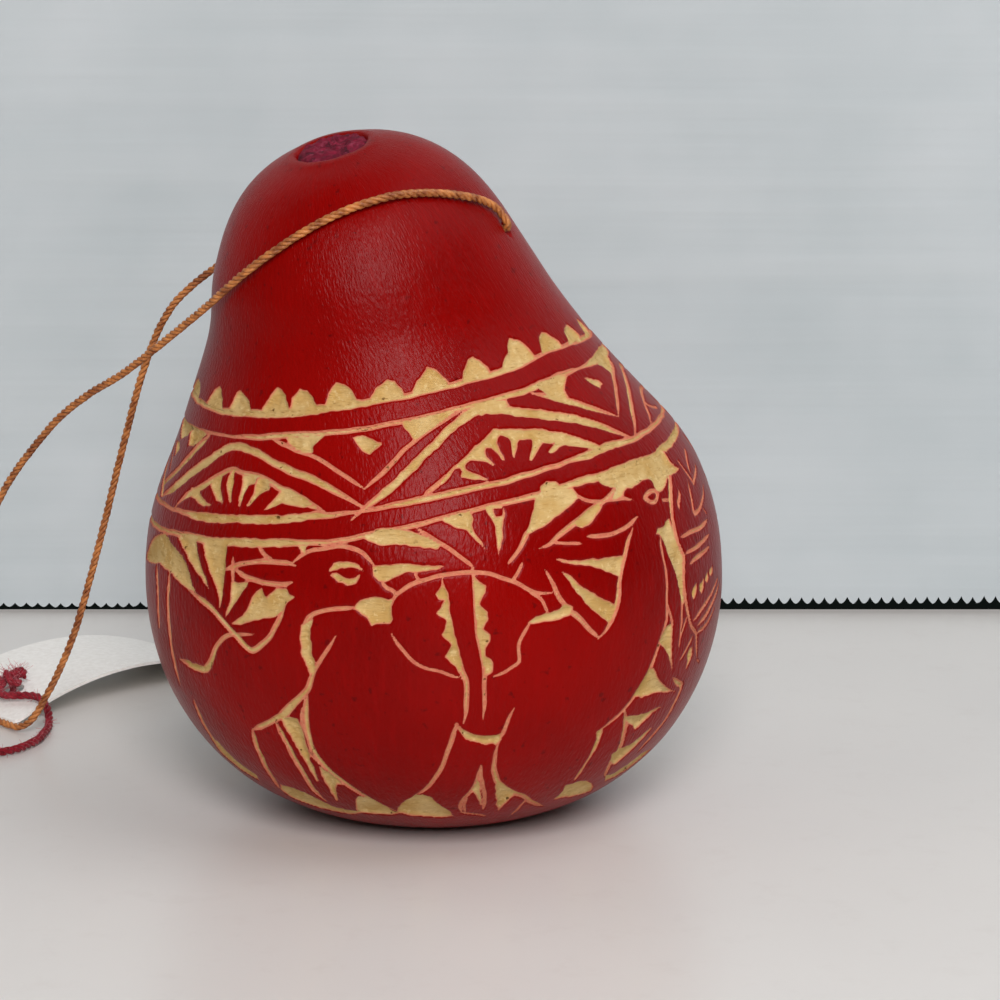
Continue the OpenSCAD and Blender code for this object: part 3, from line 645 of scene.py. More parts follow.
def fan(centre, half):
    """Half flower of the unseen side: an outline over six cleared wedges."""
    low, top = 45.9, 50.6
    rise = top - low
    line(0.8, (centre - half, low - 0.2), (centre - 0.55 * half, low + 0.62 * rise), (centre, top),
         (centre + 0.55 * half, low + 0.62 * rise), (centre + half, low - 0.2))
    for side in (-1, 1):
        for reach, tall, tip in ((0.16, 0.97, 0.28), (0.42, 0.72, 0.34), (0.74, 0.36, 0.4)):
            a, b = centre + side * half * (reach - 0.07), centre + side * half * (reach + 0.1)
            fill((a, low + rise * tall), (b, low + rise * (tall - 0.1)),
                 (centre + side * half * tip * 0.55, low + 0.9))


def zigzag(valley, peak, after):
    """One tooth of the zigzag of the unseen side, with its half flower."""
    up, down = peak - valley, after - peak
    line(1.0, (valley, 46.1), (valley + 0.3 * up, 48.6), (valley + 0.65 * up, 51.2), (peak - 2, 53),
         (peak + 2, 53), (peak + 0.35 * down, 51.2), (peak + 0.7 * down, 48.6), (after, 46.1), ends="none")
    line(0.55, (valley, 48.6), (valley + 0.35 * up, 51.4), (valley + 0.8 * up, 54.2))
    line(0.55, (after, 48.6), (after - 0.35 * down, 51.4), (after - 0.8 * down, 54.2))
    fill((after - 8, 54.3), (after - 6, 53.2), (after, 52.3), (after + 6, 53.2), (after + 8, 54.3),
         (after, 54))
    fan(peak, 0.36 * (up + down))


line([0.6, 0.7, 0.8, 0.8, 0.8, 0.8, 0.8, 0.8, 0.6], (-31, 46), (-28, 47), (-25, 48.3), (-20, 49.7),
     (-15, 50.8), (-10, 51.6), (-3, 52.2), (8, 50.4), (25, 46.1))
line([0.4, 0.6, 0.6, 0.7, 0.7, 0.6], (-32, 48.7), (-28, 50.2), (-24, 51.3), (-20, 52.4), (-16, 53),
     (-12, 53.6))
line([0.4, 0.6, 0.6, 0.6, 0.6, 0.6, 0.4], (-20.5, 46.2), (-17, 47.3), (-14, 48.2), (-10, 48.9), (-5, 49.2),
     (4, 48.4), (14, 46.2))
line(0.5, (-14, 48.1), (-10, 47.2), (-7, 46.8))
line(0.5, (6, 54.2), (14, 51.4), (25, 48.6))
zigzag(25, 53.5, 82)
zigzag(82, 110, 138)
zigzag(138, 166, 194)


def leaning_leaves():
    """Upper left: a big crescent, wedges under the line, a leaf, and twigs."""
    fill((-171.5, 37.8), (-168, 39.5), (-165, 40.6), (-160, 41.8), (-156.5, 42.2), (-154, 42), (-150, 41),
         (-146, 40.2), (-144, 39.4), (-142.8, 38.3), (-141.8, 37), (-140, 36.2), (-143, 36.6), (-147, 37.3),
         (-150, 38), (-153, 38.3), (-157, 38.7), (-160, 38.4), (-165, 38), (-170, 37.8))
    line([0.5, 0.8, 0.8, 0.8, 0.8, 0.8, 0.8, 0.7, 0.6, 0.6, 0.5, 0.5], (-143, 36.5), (-139.5, 35.8),
         (-136, 34.9), (-133, 33.5), (-130, 31.9), (-127, 30.2), (-125.3, 30), (-122, 31.2), (-120, 32.5),
         (-118.3, 34), (-116.8, 35.6), (-115.2, 36.4))
    fill((-149.5, 42.6), (-147, 41.6), (-144, 40.4), (-141, 39), (-138.8, 38.2), (-136.2, 37),
         (-137.3, 38.2), (-139, 39.3), (-141.3, 41.9), (-142, 42.6))
    fill((-139, 42.5), (-137.8, 40.8), (-136, 39), (-134.3, 37.8), (-133.3, 36.2), (-133, 34.8),
         (-132.4, 36.2), (-132, 38), (-131.5, 40), (-131.4, 41.8), (-131.5, 42.4))
    line(0.5, (-129.3, 40.8), (-129.4, 37.8))
    fill((-129.8, 38), (-127.5, 37.9), (-125.2, 38), (-131.5, 33.8), (-130, 35.9))
    line(0.6, (-131.8, 39.4), (-129, 39.8), (-125, 40.3), (-120, 40.4), (-116, 40.1), (-114, 39.8))
    line(0.6, (-128.8, 39.5), (-126.5, 38.7), (-124, 38.3), (-120, 37.8), (-117, 37.7), (-115, 38))
    line(0.5, (-123, 42.1), (-121, 41), (-119, 40.4))
    fill((-113.8, 42.2), (-111.4, 42.1), (-112.3, 41.1))
    fill((-130, 33.1), (-127, 34), (-124.8, 35.9), (-123.3, 37), (-122.2, 37.4), (-121.8, 36.5),
         (-121, 36.2), (-119.5, 36.9), (-118.5, 37.3), (-116.5, 37.2), (-116, 36.6), (-114.7, 36.3),
         (-116.5, 35.7), (-118, 34.5), (-119.5, 34), (-122, 33.9), (-125, 33.5), (-127.5, 33.1))
    line([0.7, 1, 1, 1, 0.9, 0.8, 0.7, 0.6, 0.6, 0.5, 0.45, 0.4], (-150, 27.4), (-147, 27.2), (-144, 26.9),
         (-141, 26.8), (-139.5, 27.1), (-137.5, 28.3), (-136, 29.6), (-134, 30.8), (-132, 31.5),
         (-130, 31.8), (-127, 31.8), (-124.5, 31.9))
    line(0.8, (-158.8, 38.3), (-158, 36.5), (-157.6, 34.5), (-158, 32.5), (-158.8, 30.5))
    line(0.8, (-151.2, 38.1), (-151.8, 35), (-152.3, 32), (-152.8, 29), (-153.5, 26.5), (-154.5, 23.5))
    line(0.9, (-149.8, 22), (-151, 19), (-151.5, 16.5), (-150, 14), (-146, 11))
    fill((-152.5, 16.5), (-149.5, 16), (-147.5, 13.5), (-144, 11.5), (-146, 10.3), (-151, 11.5),
         (-154.5, 13.5))


def left_legs():
    """Hind legs and belly line of the left animal, with the ground under it."""
    line([0.6, 0.9, 0.9, 0.8, 0.8, 0.6], (-114.8, 25.2), (-119, 23.1), (-122, 21.7), (-126, 20.7),
         (-129, 20), (-132, 19.3))
    line([0.6, 0.8, 0.8, 0.8, 0.8, 0.6], (-132, 19.4), (-133, 18), (-134.5, 15), (-136, 12.5), (-137, 11.3),
         (-139, 9.8))
    line(0.75, (-124.5, 20.8), (-124.3, 18), (-124.5, 15), (-125, 12), (-125.5, 10), (-125.5, 8.3))
    fill((-123, 21.2), (-121, 21.4), (-119, 21.2), (-119.5, 18), (-120, 16), (-120.7, 15.5), (-120.8, 14),
         (-121.7, 12), (-122.3, 12), (-122, 16), (-122.3, 18.5))
    fill((-119, 14.3), (-117, 12.7), (-116, 11.5), (-117.5, 11.6), (-118.5, 11), (-120, 9.5), (-121.5, 8.4),
         (-120.6, 10), (-120, 12))
    fill((-119.5, 6.3), (-117.5, 7.5), (-115.5, 8.8), (-114, 9.3), (-112, 9), (-110, 7.7), (-108, 6.4),
         (-107, 6.1), (-110, 5.8), (-115, 6))
    fill((-139, 9.5), (-136, 10.7), (-133, 10.4), (-130, 9.8), (-127.5, 8.3), (-125.5, 7.3), (-122, 6.8),
         (-118, 6.3), (-122, 5.8), (-128, 6), (-134, 6.8), (-139, 8))


def left_animal():
    """The llama that looks right: head, eye, muzzle, neck and round body."""
    line(0.5, (-114.7, 40.1), (-112.5, 41), (-110, 41.4), (-107, 41.6), (-104, 41.6), (-102, 41.3),
         (-100.3, 40.7), (-99, 39.8), (-97.8, 38.8))
    fill((-107.1, 39), (-106.5, 39.3), (-106, 39.75), (-104.6, 39.9), (-103.3, 39.8), (-101.9, 39.6),
         (-101.1, 39.3), (-101, 39.1), (-100.1, 38.5), (-100.7, 38.6), (-101.4, 38.9), (-102.2, 39.1),
         (-103.4, 39.25), (-104.4, 39.25), (-105.5, 39.1), (-106.6, 38.95))
    fill((-106.8, 38.5), (-106.3, 38.75), (-105.7, 38.7), (-105, 38.3), (-104.1, 38), (-103.3, 37.85),
         (-102.4, 37.9), (-101.2, 38.1), (-101.3, 37.8), (-102.1, 37.3), (-102.9, 37.15), (-103.7, 37.2),
         (-104.6, 37.5), (-105.4, 37.6), (-106.1, 38))
    fill((-98.3, 38.9), (-97, 39.05), (-94, 38.9), (-91, 38.55), (-88, 38.3), (-84.7, 37.8), (-88, 37.75),
         (-92, 37.75), (-94.5, 37.5), (-96, 37.2), (-97.5, 37.3), (-98.3, 37.9))
    line(0.45, (-97, 37.3), (-96.4, 36.5), (-95, 36), (-94.7, 35.3))
    line(0.35, (-90.6, 37.6), (-90, 36.7))
    fill((-103.2, 34.3), (-101.5, 35.2), (-99.5, 35.6), (-97.5, 35.4), (-96.3, 35), (-95.3, 35),
         (-95.7, 34.2), (-96, 32.7), (-96.5, 32.2), (-98.5, 32.4), (-100, 32.3), (-100.7, 33.2), (-102, 34))
    line(0.55, (-102.5, 34.4), (-106, 34.6), (-109, 34.5), (-111.5, 34), (-113, 33), (-113.6, 31.5))
    fill((-113.9, 32.8), (-114.6, 31), (-114.6, 29.3), (-114, 28), (-113.4, 26.7), (-112.4, 27.5),
         (-112.2, 28.6), (-112.7, 29.5), (-112.6, 31), (-112, 32.5), (-111.3, 33.6))
    line([0.35, 0.45, 0.5, 0.6, 0.7, 0.7, 0.8, 0.8, 0.8], (-107, 31.6), (-109, 30.1), (-111, 28.5),
         (-112.5, 27.5), (-113.8, 26), (-115, 25), (-118, 23.7), (-121, 22.4), (-124, 21.2))
    line([0.5, 0.75, 0.8, 0.8, 0.8, 0.8, 0.8, 0.7, 0.6, 0.5], (-115, 25.3), (-116.3, 23), (-117.5, 20.5),
         (-118.3, 18), (-118.5, 16), (-117.5, 14), (-115.5, 12), (-113, 10), (-111, 8.3), (-107.5, 6.5))
    line(0.4, (-117.3, 22.6), (-119.2, 19.2), (-119.8, 17), (-119, 14.8))
    fill((-107.5, 6.3), (-105.5, 7.2), (-103, 8.2), (-100, 9), (-98, 9), (-96.5, 8.3), (-95, 7),
         (-93.5, 5.5), (-92.6, 4.4), (-96, 4.4), (-101, 5), (-105, 5.5))
    line(0.55, (-100.2, 9), (-97, 9.9), (-94, 11.5), (-91.5, 13.5), (-89.5, 15.8), (-88.2, 17.5),
         (-87.2, 18.9))


def packs():
    """Between the two animals: the domed pack with its two scalloped girths, and what grows under it."""
    line(0.5, (-96.2, 33.8), (-95, 35.2), (-93, 36), (-90.5, 36.6), (-87, 36.9), (-83, 36.9), (-80, 36.7),
         (-77, 36.1), (-74.5, 35.3), (-72, 34.4), (-70, 33.4), (-68.3, 32.7), (-65.2, 32.2))
    line(0.4, (-70, 33.3), (-68, 32), (-67.3, 31), (-66.8, 30))
    line([0.4, 0.5, 0.5, 0.6, 0.7, 0.7, 0.6, 0.5, 0.35], (-85.7, 36.8), (-85.6, 34), (-85.5, 31),
         (-85.2, 28), (-84.8, 25.5), (-84.3, 24), (-84.6, 21.5), (-85.5, 19.5), (-86.1, 18.6))
    fill((-85.5, 36), (-86.5, 35.5), (-87.2, 34.9), (-86.9, 34.3), (-86, 34), (-86.8, 33.2), (-87.6, 32.7),
         (-86.8, 32.1), (-85.9, 31.6), (-86.5, 30.7), (-87.3, 30), (-86.7, 29.4), (-85.8, 28.7),
         (-86.6, 28), (-87.3, 27.4), (-86.6, 26.8), (-85.6, 25.8), (-84.8, 24.6), (-84.4, 26), (-84.9, 29),
         (-85.1, 32), (-85.2, 35))
    line([0.4, 0.45, 0.5, 0.5, 0.5, 0.5, 0.5, 0.5, 0.35], (-79.7, 37), (-80, 35), (-80.4, 33), (-80.7, 31),
         (-80.8, 28.5), (-80.6, 26), (-80.8, 23.5), (-81.3, 21), (-82.3, 18.6))
    fill((-79.7, 36.5), (-79, 35.3), (-77.9, 34.8), (-78.3, 34), (-79.6, 33), (-79.5, 32.6), (-78.4, 31.8),
         (-78.6, 31), (-79.8, 30), (-79.6, 29.8), (-78.7, 29.1), (-79, 28.3), (-80, 27.6), (-80, 26.6),
         (-79, 26), (-78.7, 25.6), (-79.3, 24.6), (-80.3, 24.2), (-80.7, 25.5), (-80.9, 29), (-80.7, 32),
         (-80.2, 35))
    line(0.4, (-96.7, 31.1), (-95.5, 29.5), (-94, 27.8), (-92.5, 26.8), (-91, 26.2), (-89, 25.8), (-87, 25),
         (-85, 24.4))
    line(0.4, (-79.3, 23.9), (-77, 24.2), (-75, 24.7), (-73.8, 25), (-73.6, 26), (-73.3, 27.3), (-72, 28.6),
         (-70.6, 29.6))
    fill((-71.3, 29.5), (-69.5, 30), (-67, 30), (-65.3, 30.1), (-63, 30.7), (-61.8, 30), (-62.3, 29.3),
         (-64.5, 29.1), (-67.5, 29.1), (-70, 29.3))
    line([0.7, 0.7, 0.6, 0.5, 0.4], (-62.8, 29.8), (-61.3, 28.9), (-60, 27.8), (-58.5, 26.5), (-57, 25.4))
    line([0.35, 0.5, 0.6, 0.6], (-66, 35.2), (-65, 33.3), (-64.2, 31.7), (-62.9, 30.3))
    line([0.4, 0.5, 0.7, 0.7, 0.6, 0.6, 0.6, 0.6, 0.4], (-57.3, 25.3), (-55, 26.3), (-53, 27.6),
         (-51.5, 29.4), (-50.5, 31.5), (-49.2, 33), (-48, 34.2), (-46.3, 35.5), (-44, 36.8))
    # The dip between the bodies
    line([0.3, 0.5, 0.5, 0.5, 0.5, 0.45, 0.3], (-87.3, 19), (-86, 17.3), (-84, 16.2), (-81.5, 15.9),
         (-79, 16), (-77, 18), (-75.7, 19.5))
    fill((-87.6, 18.7), (-86, 16.6), (-83.8, 15.7), (-82.3, 15.2), (-81, 15.3), (-80.2, 14.9), (-79, 15.6),
         (-78.8, 16.3), (-81, 16.3), (-83, 16.5), (-85, 17.2))
    line([0.4, 0.5, 0.6, 0.7, 0.8, 0.8, 0.8, 0.7, 0.7, 0.7, 0.6], (-79.5, 15.4), (-80.3, 14), (-80.8, 12),
         (-80.7, 10.5), (-80, 9.3), (-78.5, 8.2), (-76, 7), (-73, 6), (-70.5, 4.8), (-67, 3.6), (-64, 2.8))
    fill((-80.6, 9.8), (-78.5, 8.2), (-76.5, 7.2), (-75, 6.8), (-77, 6), (-78.5, 5), (-79.5, 4.2),
         (-80.2, 5.5), (-80.5, 7.5))
    line(0.35, (-72, 5.3), (-74.7, 2.7))
    line(0.5, (-83.6, 12.5), (-84.6, 10.5), (-86.5, 8.8), (-88.5, 7.6), (-90, 6.4), (-90, 5))
    line(0.35, (-87.8, 7.5), (-88.9, 6.4), (-89, 5))
    line(0.5, (-83.7, 12.5), (-83.8, 10), (-83.4, 8), (-83.5, 6), (-84, 5))
    fill((-86.3, 8.7), (-84.8, 10.2), (-84.2, 9), (-84.6, 8), (-84.2, 6.5), (-84.5, 6), (-85.5, 7.8))
    line(0.5, (-90.3, 5), (-87.5, 4.4), (-85.5, 4), (-83.2, 3.4))


def lower_fan():
    """Rays that hang from the fourth line, and the leaves right of them."""
    fill((-100, 42.3), (-97, 43), (-93, 43), (-90, 42.3), (-87, 41.4), (-84.5, 40.3), (-85.5, 40),
         (-89, 40.5), (-93, 41), (-97, 41.4))
    line(0.45, (-89, 42.7), (-86.5, 41.3), (-84, 40.1), (-82, 38.9), (-80, 37.7), (-79.2, 36.9))
    fill((-84.3, 43.1), (-81, 43.4), (-78, 43.5), (-77.9, 42.5), (-78.3, 41.8), (-78, 41), (-77, 39.8),
         (-76.2, 38.4), (-77.5, 39.8), (-79.5, 41.4), (-82, 42.2))
    fill((-75, 43.6), (-71.3, 43.5), (-71, 42.5), (-72, 41.5), (-73, 39.5), (-74.2, 37.9), (-74, 39.5),
         (-73.7, 41.5), (-74.3, 42.3))
    line(0.4, (-72.9, 34.7), (-71.3, 35.5), (-69.9, 36.6))
    fill((-68.5, 39.5), (-66.5, 40.7), (-65, 42), (-64, 43.3), (-62, 43.6), (-58, 43.6), (-55, 43.2),
         (-54.5, 42), (-57, 41.5), (-59.5, 40.9), (-62, 40.3), (-65, 39.9))
    fill((-62.6, 43.6), (-62, 44.3), (-60.5, 44.6), (-58.3, 44.3), (-57.5, 43.7))
    line([0.35, 0.5, 0.8], (-72.8, 36.7), (-70, 38.2), (-67.5, 39.9))
    fill((-63.5, 36.1), (-60, 35.3), (-57, 35), (-54, 34.5), (-51, 34.3), (-48.3, 34), (-49.3, 33),
         (-50, 31.7), (-52, 32.5), (-55, 33.7), (-58, 34.5), (-61, 35.2))
    fill((-63, 34.7), (-61, 33.5), (-59.5, 32.2), (-57, 31), (-54.5, 29.6), (-52, 28.6), (-53.5, 27.2),
         (-54.5, 26.9), (-56, 28), (-58, 29.3), (-60, 31.2), (-62, 33.6))
    line(0.5, (-55.9, 37.6), (-53, 37.2), (-49, 37), (-45, 37.2), (-41.9, 37.7))
    line([0.4, 0.5, 0.6, 0.7, 0.8, 0.7, 0.6, 0.6, 0.7], (-66.3, 37.7), (-64, 37.8), (-61, 38.6),
         (-57.5, 39.3), (-54, 40), (-51, 40.5), (-49, 40.7), (-46, 41.3), (-43, 42.2))
    fill((-57.8, 39.2), (-54, 40.2), (-50, 40.8), (-50, 40.1), (-53, 39), (-56, 38.7))
    line(0.35, (-63, 37.9), (-60, 37.4), (-57, 37))
    line(0.45, (-55.5, 42.6), (-53, 41.5), (-50, 40.8), (-47, 40.7), (-44, 40.3), (-41.3, 39.7))


def right_animal():
    """The llama on the right: head under the line, long neck, chest, legs and the ground."""
    fill((-48.5, 43.4), (-47.9, 42.8), (-47.2, 42.4), (-45.9, 41.9), (-44.6, 41.7), (-45.6, 41.1),
         (-47, 40.7), (-45.7, 40.6), (-44, 40.5), (-43.1, 40.9), (-41.7, 41.3), (-40.5, 41.1),
         (-38.2, 41.2), (-36.1, 41.3), (-34.4, 41.3), (-33.4, 41), (-33.3, 40.5), (-33.5, 40),
         (-33.3, 39.6), (-32.5, 39.3), (-30.9, 39.5), (-29.7, 39.7), (-28, 40.2), (-26.8, 40.4),
         (-24.2, 40.3), (-21.1, 40.5), (-22.5, 41.2), (-22, 41.9), (-22.8, 43.2), (-30, 43.1), (-36, 43.1),
         (-42, 43.2))
    line(0.55, (-38, 39.4), (-36.8, 39.75), (-35.3, 39.85), (-33.9, 39.55), (-33.6, 39.1), (-34.5, 38.65),
         (-35.6, 38.55), (-37, 38.9), (-38, 39.4), ends="none")
    line(0.4, (-32.6, 38.2), (-30.4, 38), ends="none")
    line([0.5, 0.7, 0.8, 0.7, 0.7, 0.6, 0.6, 0.6], (-24.5, 41), (-26.3, 40.4), (-29.5, 38.1), (-31.4, 36),
         (-32.1, 34), (-32, 33), (-31.2, 31.7), (-30.9, 30.8), ends="none")
    line([0.6, 0.6, 0.6, 0.6, 0.6, 0.5, 0.5, 0.5, 0.4], (-30.9, 30.8), (-31.8, 29.2), (-32.2, 27.9),
         (-31.9, 26), (-31.3, 24.1), (-30, 22.3), (-27.2, 20.5), (-26, 18.8), (-24.2, 16.8), ends="end")
    fill((-38.2, 35), (-37.2, 35.5), (-35, 35.4), (-34.1, 35.9), (-32.7, 36), (-32.3, 34), (-31.6, 32.4),
         (-31, 31.4), (-31.3, 30), (-31.9, 28.6), (-32.1, 26.8), (-32.4, 25.6), (-33.2, 25.4),
         (-33.8, 26.6), (-34.5, 28.7), (-35.4, 31), (-36.3, 33.7), (-37, 34.9))
    line([0.5, 0.4, 0.4, 0.35, 0.3], (-33.4, 26), (-33.6, 25), (-33.8, 23.2), (-34.2, 21.7), (-34.2, 20),
         ends="end")
    line(0.35, (-31.6, 23.5), (-32.9, 22.4), (-34, 21.4))
    line([0.45, 0.45, 0.45, 0.45, 0.45, 0.5, 0.5, 0.55, 0.6, 0.6, 0.6, 0.5, 0.5, 0.4], (-37.3, 34.9),
         (-37.7, 32.5), (-37.8, 29.7), (-38.3, 27.6), (-38.7, 25.5), (-39.4, 24.1), (-40.6, 22.6),
         (-42.1, 21), (-43.9, 19), (-45.3, 18), (-48, 16), (-51, 14.6), (-54, 13.7), (-57.2, 13))
    line([0.35, 0.4, 0.5], (-38.4, 26.3), (-37.7, 24.8), (-37.2, 23.5), ends="none")
    fill((-38.4, 23.7), (-37.1, 23.9), (-37.2, 22.4), (-37.3, 20.9), (-36.8, 19.5), (-35.8, 17.5),
         (-37.9, 19.7), (-40.2, 21.4), (-40.9, 21.9), (-40.2, 22.8), (-39.2, 23.6))
    fill((-44.2, 19.1), (-42.8, 19), (-40.2, 17), (-38, 15.9), (-35.5, 15), (-32.5, 14.2), (-36, 14.7),
         (-39, 15.2), (-42, 15.6), (-45, 15.7), (-47.5, 16.3), (-46, 17.6))
    fill((-50.3, 15), (-48.5, 13.6), (-46, 13.3), (-42, 13.1), (-38, 13.1), (-36.3, 12.9), (-40, 12.6),
         (-42, 11.9), (-44.3, 11.2), (-45.5, 12), (-47.5, 12.5), (-48.5, 13))
    line(0.7, (-49.5, 14.5), (-48.5, 12.5), (-47.8, 10.5), (-47.5, 9), (-48, 7.5), (-47.5, 6), (-46, 5))
    fill((-49.5, 8.7), (-47, 9), (-44, 9), (-41, 9.6), (-38, 10.3), (-37, 10.2), (-40, 8.8), (-43, 7.3),
         (-45.5, 6.7), (-47, 7), (-48.5, 7.8))
    line(0.8, (-35, 16.3), (-32, 15.2), (-29.7, 14.5), (-29.5, 13.5), (-30.5, 11.5), (-32, 9.8),
         (-34.5, 8.6), (-37, 7))
    fill((-56.8, 13.2), (-55.2, 13.2), (-55.3, 11.5), (-56.3, 10), (-58, 7), (-59, 6.2), (-58.2, 8),
         (-57, 10), (-56.2, 12))
    fill((-61, 6), (-60, 5.8), (-57, 5.9), (-53, 5.3), (-50, 4.5), (-47, 3.4), (-45.5, 2.6), (-50, 2.8),
         (-55, 3.1), (-59, 3.7), (-62, 3.8), (-60.5, 5))
    fill((-46, 5.1), (-43, 4.7), (-38, 5.2), (-33, 6), (-29, 5.8), (-25, 5.6), (-27, 4.6), (-32, 3.9),
         (-38, 3.6), (-43, 3.8))


def woven_panel():
    """Right edge: a striped panel with dots and two nested points, as of a woven cloth."""
    line([0.35, 0.55, 0.6, 0.35], (-31, 33.3), (-25.3, 33.15), (-19.2, 32.9), (-15.5, 33))
    line([0.35, 0.55, 0.55, 0.35], (-30.6, 31.2), (-25.5, 31.1), (-21.1, 31.25), (-16.5, 31.3))
    line([0.35, 0.6, 0.6, 0.35], (-29.5, 29.6), (-26, 29.9), (-22.2, 29.95), (-17.5, 30))
    line([0.4, 0.55, 0.55, 0.5, 0.4], (-29, 22.5), (-26.1, 23), (-21.6, 23.7), (-17.1, 24.5), (-12.6, 25.2))
    line([0.35, 0.6, 0.65, 0.5, 0.4], (-27.1, 21.4), (-22.9, 22), (-18.4, 22.8), (-13.7, 23.7),
         (-10.9, 24.5))
    line([0.4, 0.5, 0.45, 0.35], (-26.9, 20.5), (-24, 20.6), (-19.1, 21.2), (-15, 22.1))
    fill((-26.9, 26.9), (-29, 26.4), (-29.2, 26), (-28.7, 25.2), (-27.6, 25.7), (-26.9, 26.4))
    fill((-23.5, 26.8), (-25.6, 26.4), (-25.8, 25.9), (-24.9, 25.2), (-23.8, 25.8))
    fill((-20.5, 27.1), (-22.2, 26.9), (-22.5, 26.5), (-21.6, 26), (-20.6, 26.5))
    fill((-17.8, 27.5), (-19.6, 27.1), (-19.9, 26.8), (-18.9, 26.3), (-17.8, 26.8))
    line([0.4, 0.5, 0.45, 0.35], (-10.7, 41.6), (-14.4, 40.6), (-15.6, 39.8), (-16.3, 39.2))
    line([0.35, 0.4, 0.45], (-19.3, 41.2), (-18.6, 40.1), (-17, 38.2), ends="none")
    line([0.4, 0.45, 0.45], (-9.6, 39.1), (-13.5, 38.5), (-17, 38), ends="none")
    line([0.35, 0.45, 0.5, 0.55, 0.5, 0.45, 0.35], (-19.1, 38.8), (-20.9, 37), (-22.1, 35.2), (-21.7, 34.8),
         (-18.2, 35), (-13.5, 35.8), (-9.7, 36.8))
    line([0.35, 0.5, 0.55, 0.35], (-25.3, 38.5), (-26.3, 37.6), (-27.5, 37.2), (-28, 36.3))
    line(0.3, (-16.5, 34.7), (-15, 33.6))
    line(0.4, (-33.3, 18.2), (-30.8, 19.3), (-28.7, 20.5))
    fill((-30, 18.1), (-29.6, 18.9), (-28.1, 19), (-27.7, 17.9), (-28.3, 17.2), (-29.2, 16.5),
         (-29.3, 17.5))
    line(0.3, (-24.4, 16.8), (-21.6, 16))


def leafy_stalk():
    """A tall stalk with paired leaves; it fills the unseen gap beside the woven panel."""
    line([0.35, 0.6, 0.7, 0.6, 0.35], (4.6, 13), (3.4, 22), (4.5, 31), (3.5, 40), (4.2, 49.5))
    for pair in range(6):
        low, reach = 17 + 5.3 * pair, 7.4 - 0.5 * pair
        for side in (-1, 1):
            near, mid, tip = (4 + side * (0.9 + share * reach) for share in (0, 0.42, 1))
            fill((near, low), (mid, low + 0.9), (tip, low + 4.3), (mid, low + 3.1))


leaning_leaves()
left_legs()
left_animal()
packs()
lower_fan()
right_animal()
woven_panel()
fill((-70.2, 53.4), (-74.7, 54.1), (-71.1, 54.6), (-67.8, 54.9), (-62.7, 54.4), (-62.4, 53.6),
     (-65.8, 53.6))
spare((-23.2, 43), (-22.5, 42.8), (-22.1, 42.1), (-21.9, 41.3), (-22.8, 41.4), (-23.3, 42.2))
spare((-73.2, 43.1), (-71.2, 43), (-71.7, 42.2), (-73.1, 42.2))
spare((-79.2, 48.2), (-78.1, 48.2), (-77.7, 47.8), (-78.2, 47.4), (-79.1, 47.4))
# The unseen side carries the same motifs again, turned and mirrored, and one stalk
leafy_stalk()
moved(right_animal, 21, about=-35, mirror=True)
moved(lower_fan, 52, about=-62, mirror=True, lift=-0.6)
moved(packs, 68, about=-83, mirror=True)
moved(left_animal, 92, about=-106, mirror=True)
moved(left_legs, 104, about=-120, mirror=True)
moved(woven_panel, 143, about=-22, mirror=True)
moved(leaning_leaves, 166, about=-140, spread=0.6)
moved(left_legs, 154, about=-120, spread=0.8, mirror=True)

# The gourd's skin with the carving cut into it
SECTORS = 960
REACH = 1.6  # millimetres of skin looked at round each cut
STROKE_EASE, FILL_EASE = 0.005, 0.06  # millimetres by which lines and patches are widened on each side
CARVED_FROM, CARVED_TO = 1.2, 66


def row_places():
    """Places along the outline where rings of the mesh lie: closest where it is carved and at the crown."""
    fine, coarse = ((0.25, 0.5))
    places, at = [], 0.0
    while at < RUN[-1] - 6.2:
        places.append(at)
        h = np.interp(at, RUN, PROFILE[:, 1])
        at += fine if CARVED_FROM < h < CARVED_TO else coarse
    return np.array(places + list(np.linspace(RUN[-1] - 6, RUN[-1] - 0.15, 30)))


rows = row_places()
row_r, row_h = np.interp(rows, RUN, PROFILE[:, 0]), np.interp(rows, RUN, PROFILE[:, 1])
turns = np.linspace(-np.pi, np.pi, SECTORS, endpoint=False)
base_points = placed(row_r[:, None], row_h[:, None], turns[None, :])
along_rows = np.gradient(base_points, axis=0)
wrapped = np.concatenate([base_points[:, -1:], base_points, base_points[:, :1]], axis=1)
along_turn = (wrapped[:, 2:] - wrapped[:, :-2]) / 2
normals = unit(np.cross(along_turn, along_rows)).reshape(-1, 3)
flat_points = base_points.reshape(-1, 3)

offset = base_points - MIDDLE
angle = np.degrees(np.arctan2(offset @ np.array([0, 1, 0]), offset @ ACROSS)).ravel()
level = (offset @ AXIS + BELLY_Z).ravel()
radial = np.linalg.norm(offset - (offset @ AXIS)[..., None] * AXIS, axis=-1).ravel()
slope = 1 / np.clip(np.sqrt(1 - np.clip(normals @ AXIS, -0.97, 0.97) ** 2), 0.25, 1)
per_degree = radial * math.pi / 180


def soft_noise(scale, seed):
    """Smooth seeded noise at every point of the skin, about -1 to 1."""
    shift = Vector((seed * 7.3, seed * 3.1, seed * 5.7))
    return np.array([noise.noise(Vector(p) + shift) for p in (flat_points * scale).tolist()])


# The hand is never quite on its line: up to this many millimetres off it, across and up
WAVER_ACROSS, WAVER_UP = 0.16, 0.14
hand_x, hand_y = soft_noise(0.45, 1), soft_noise(0.45, 2)
angle_cut = angle + WAVER_ACROSS * hand_x / np.maximum(per_degree, 0.2)
level_cut = level + WAVER_UP * hand_y


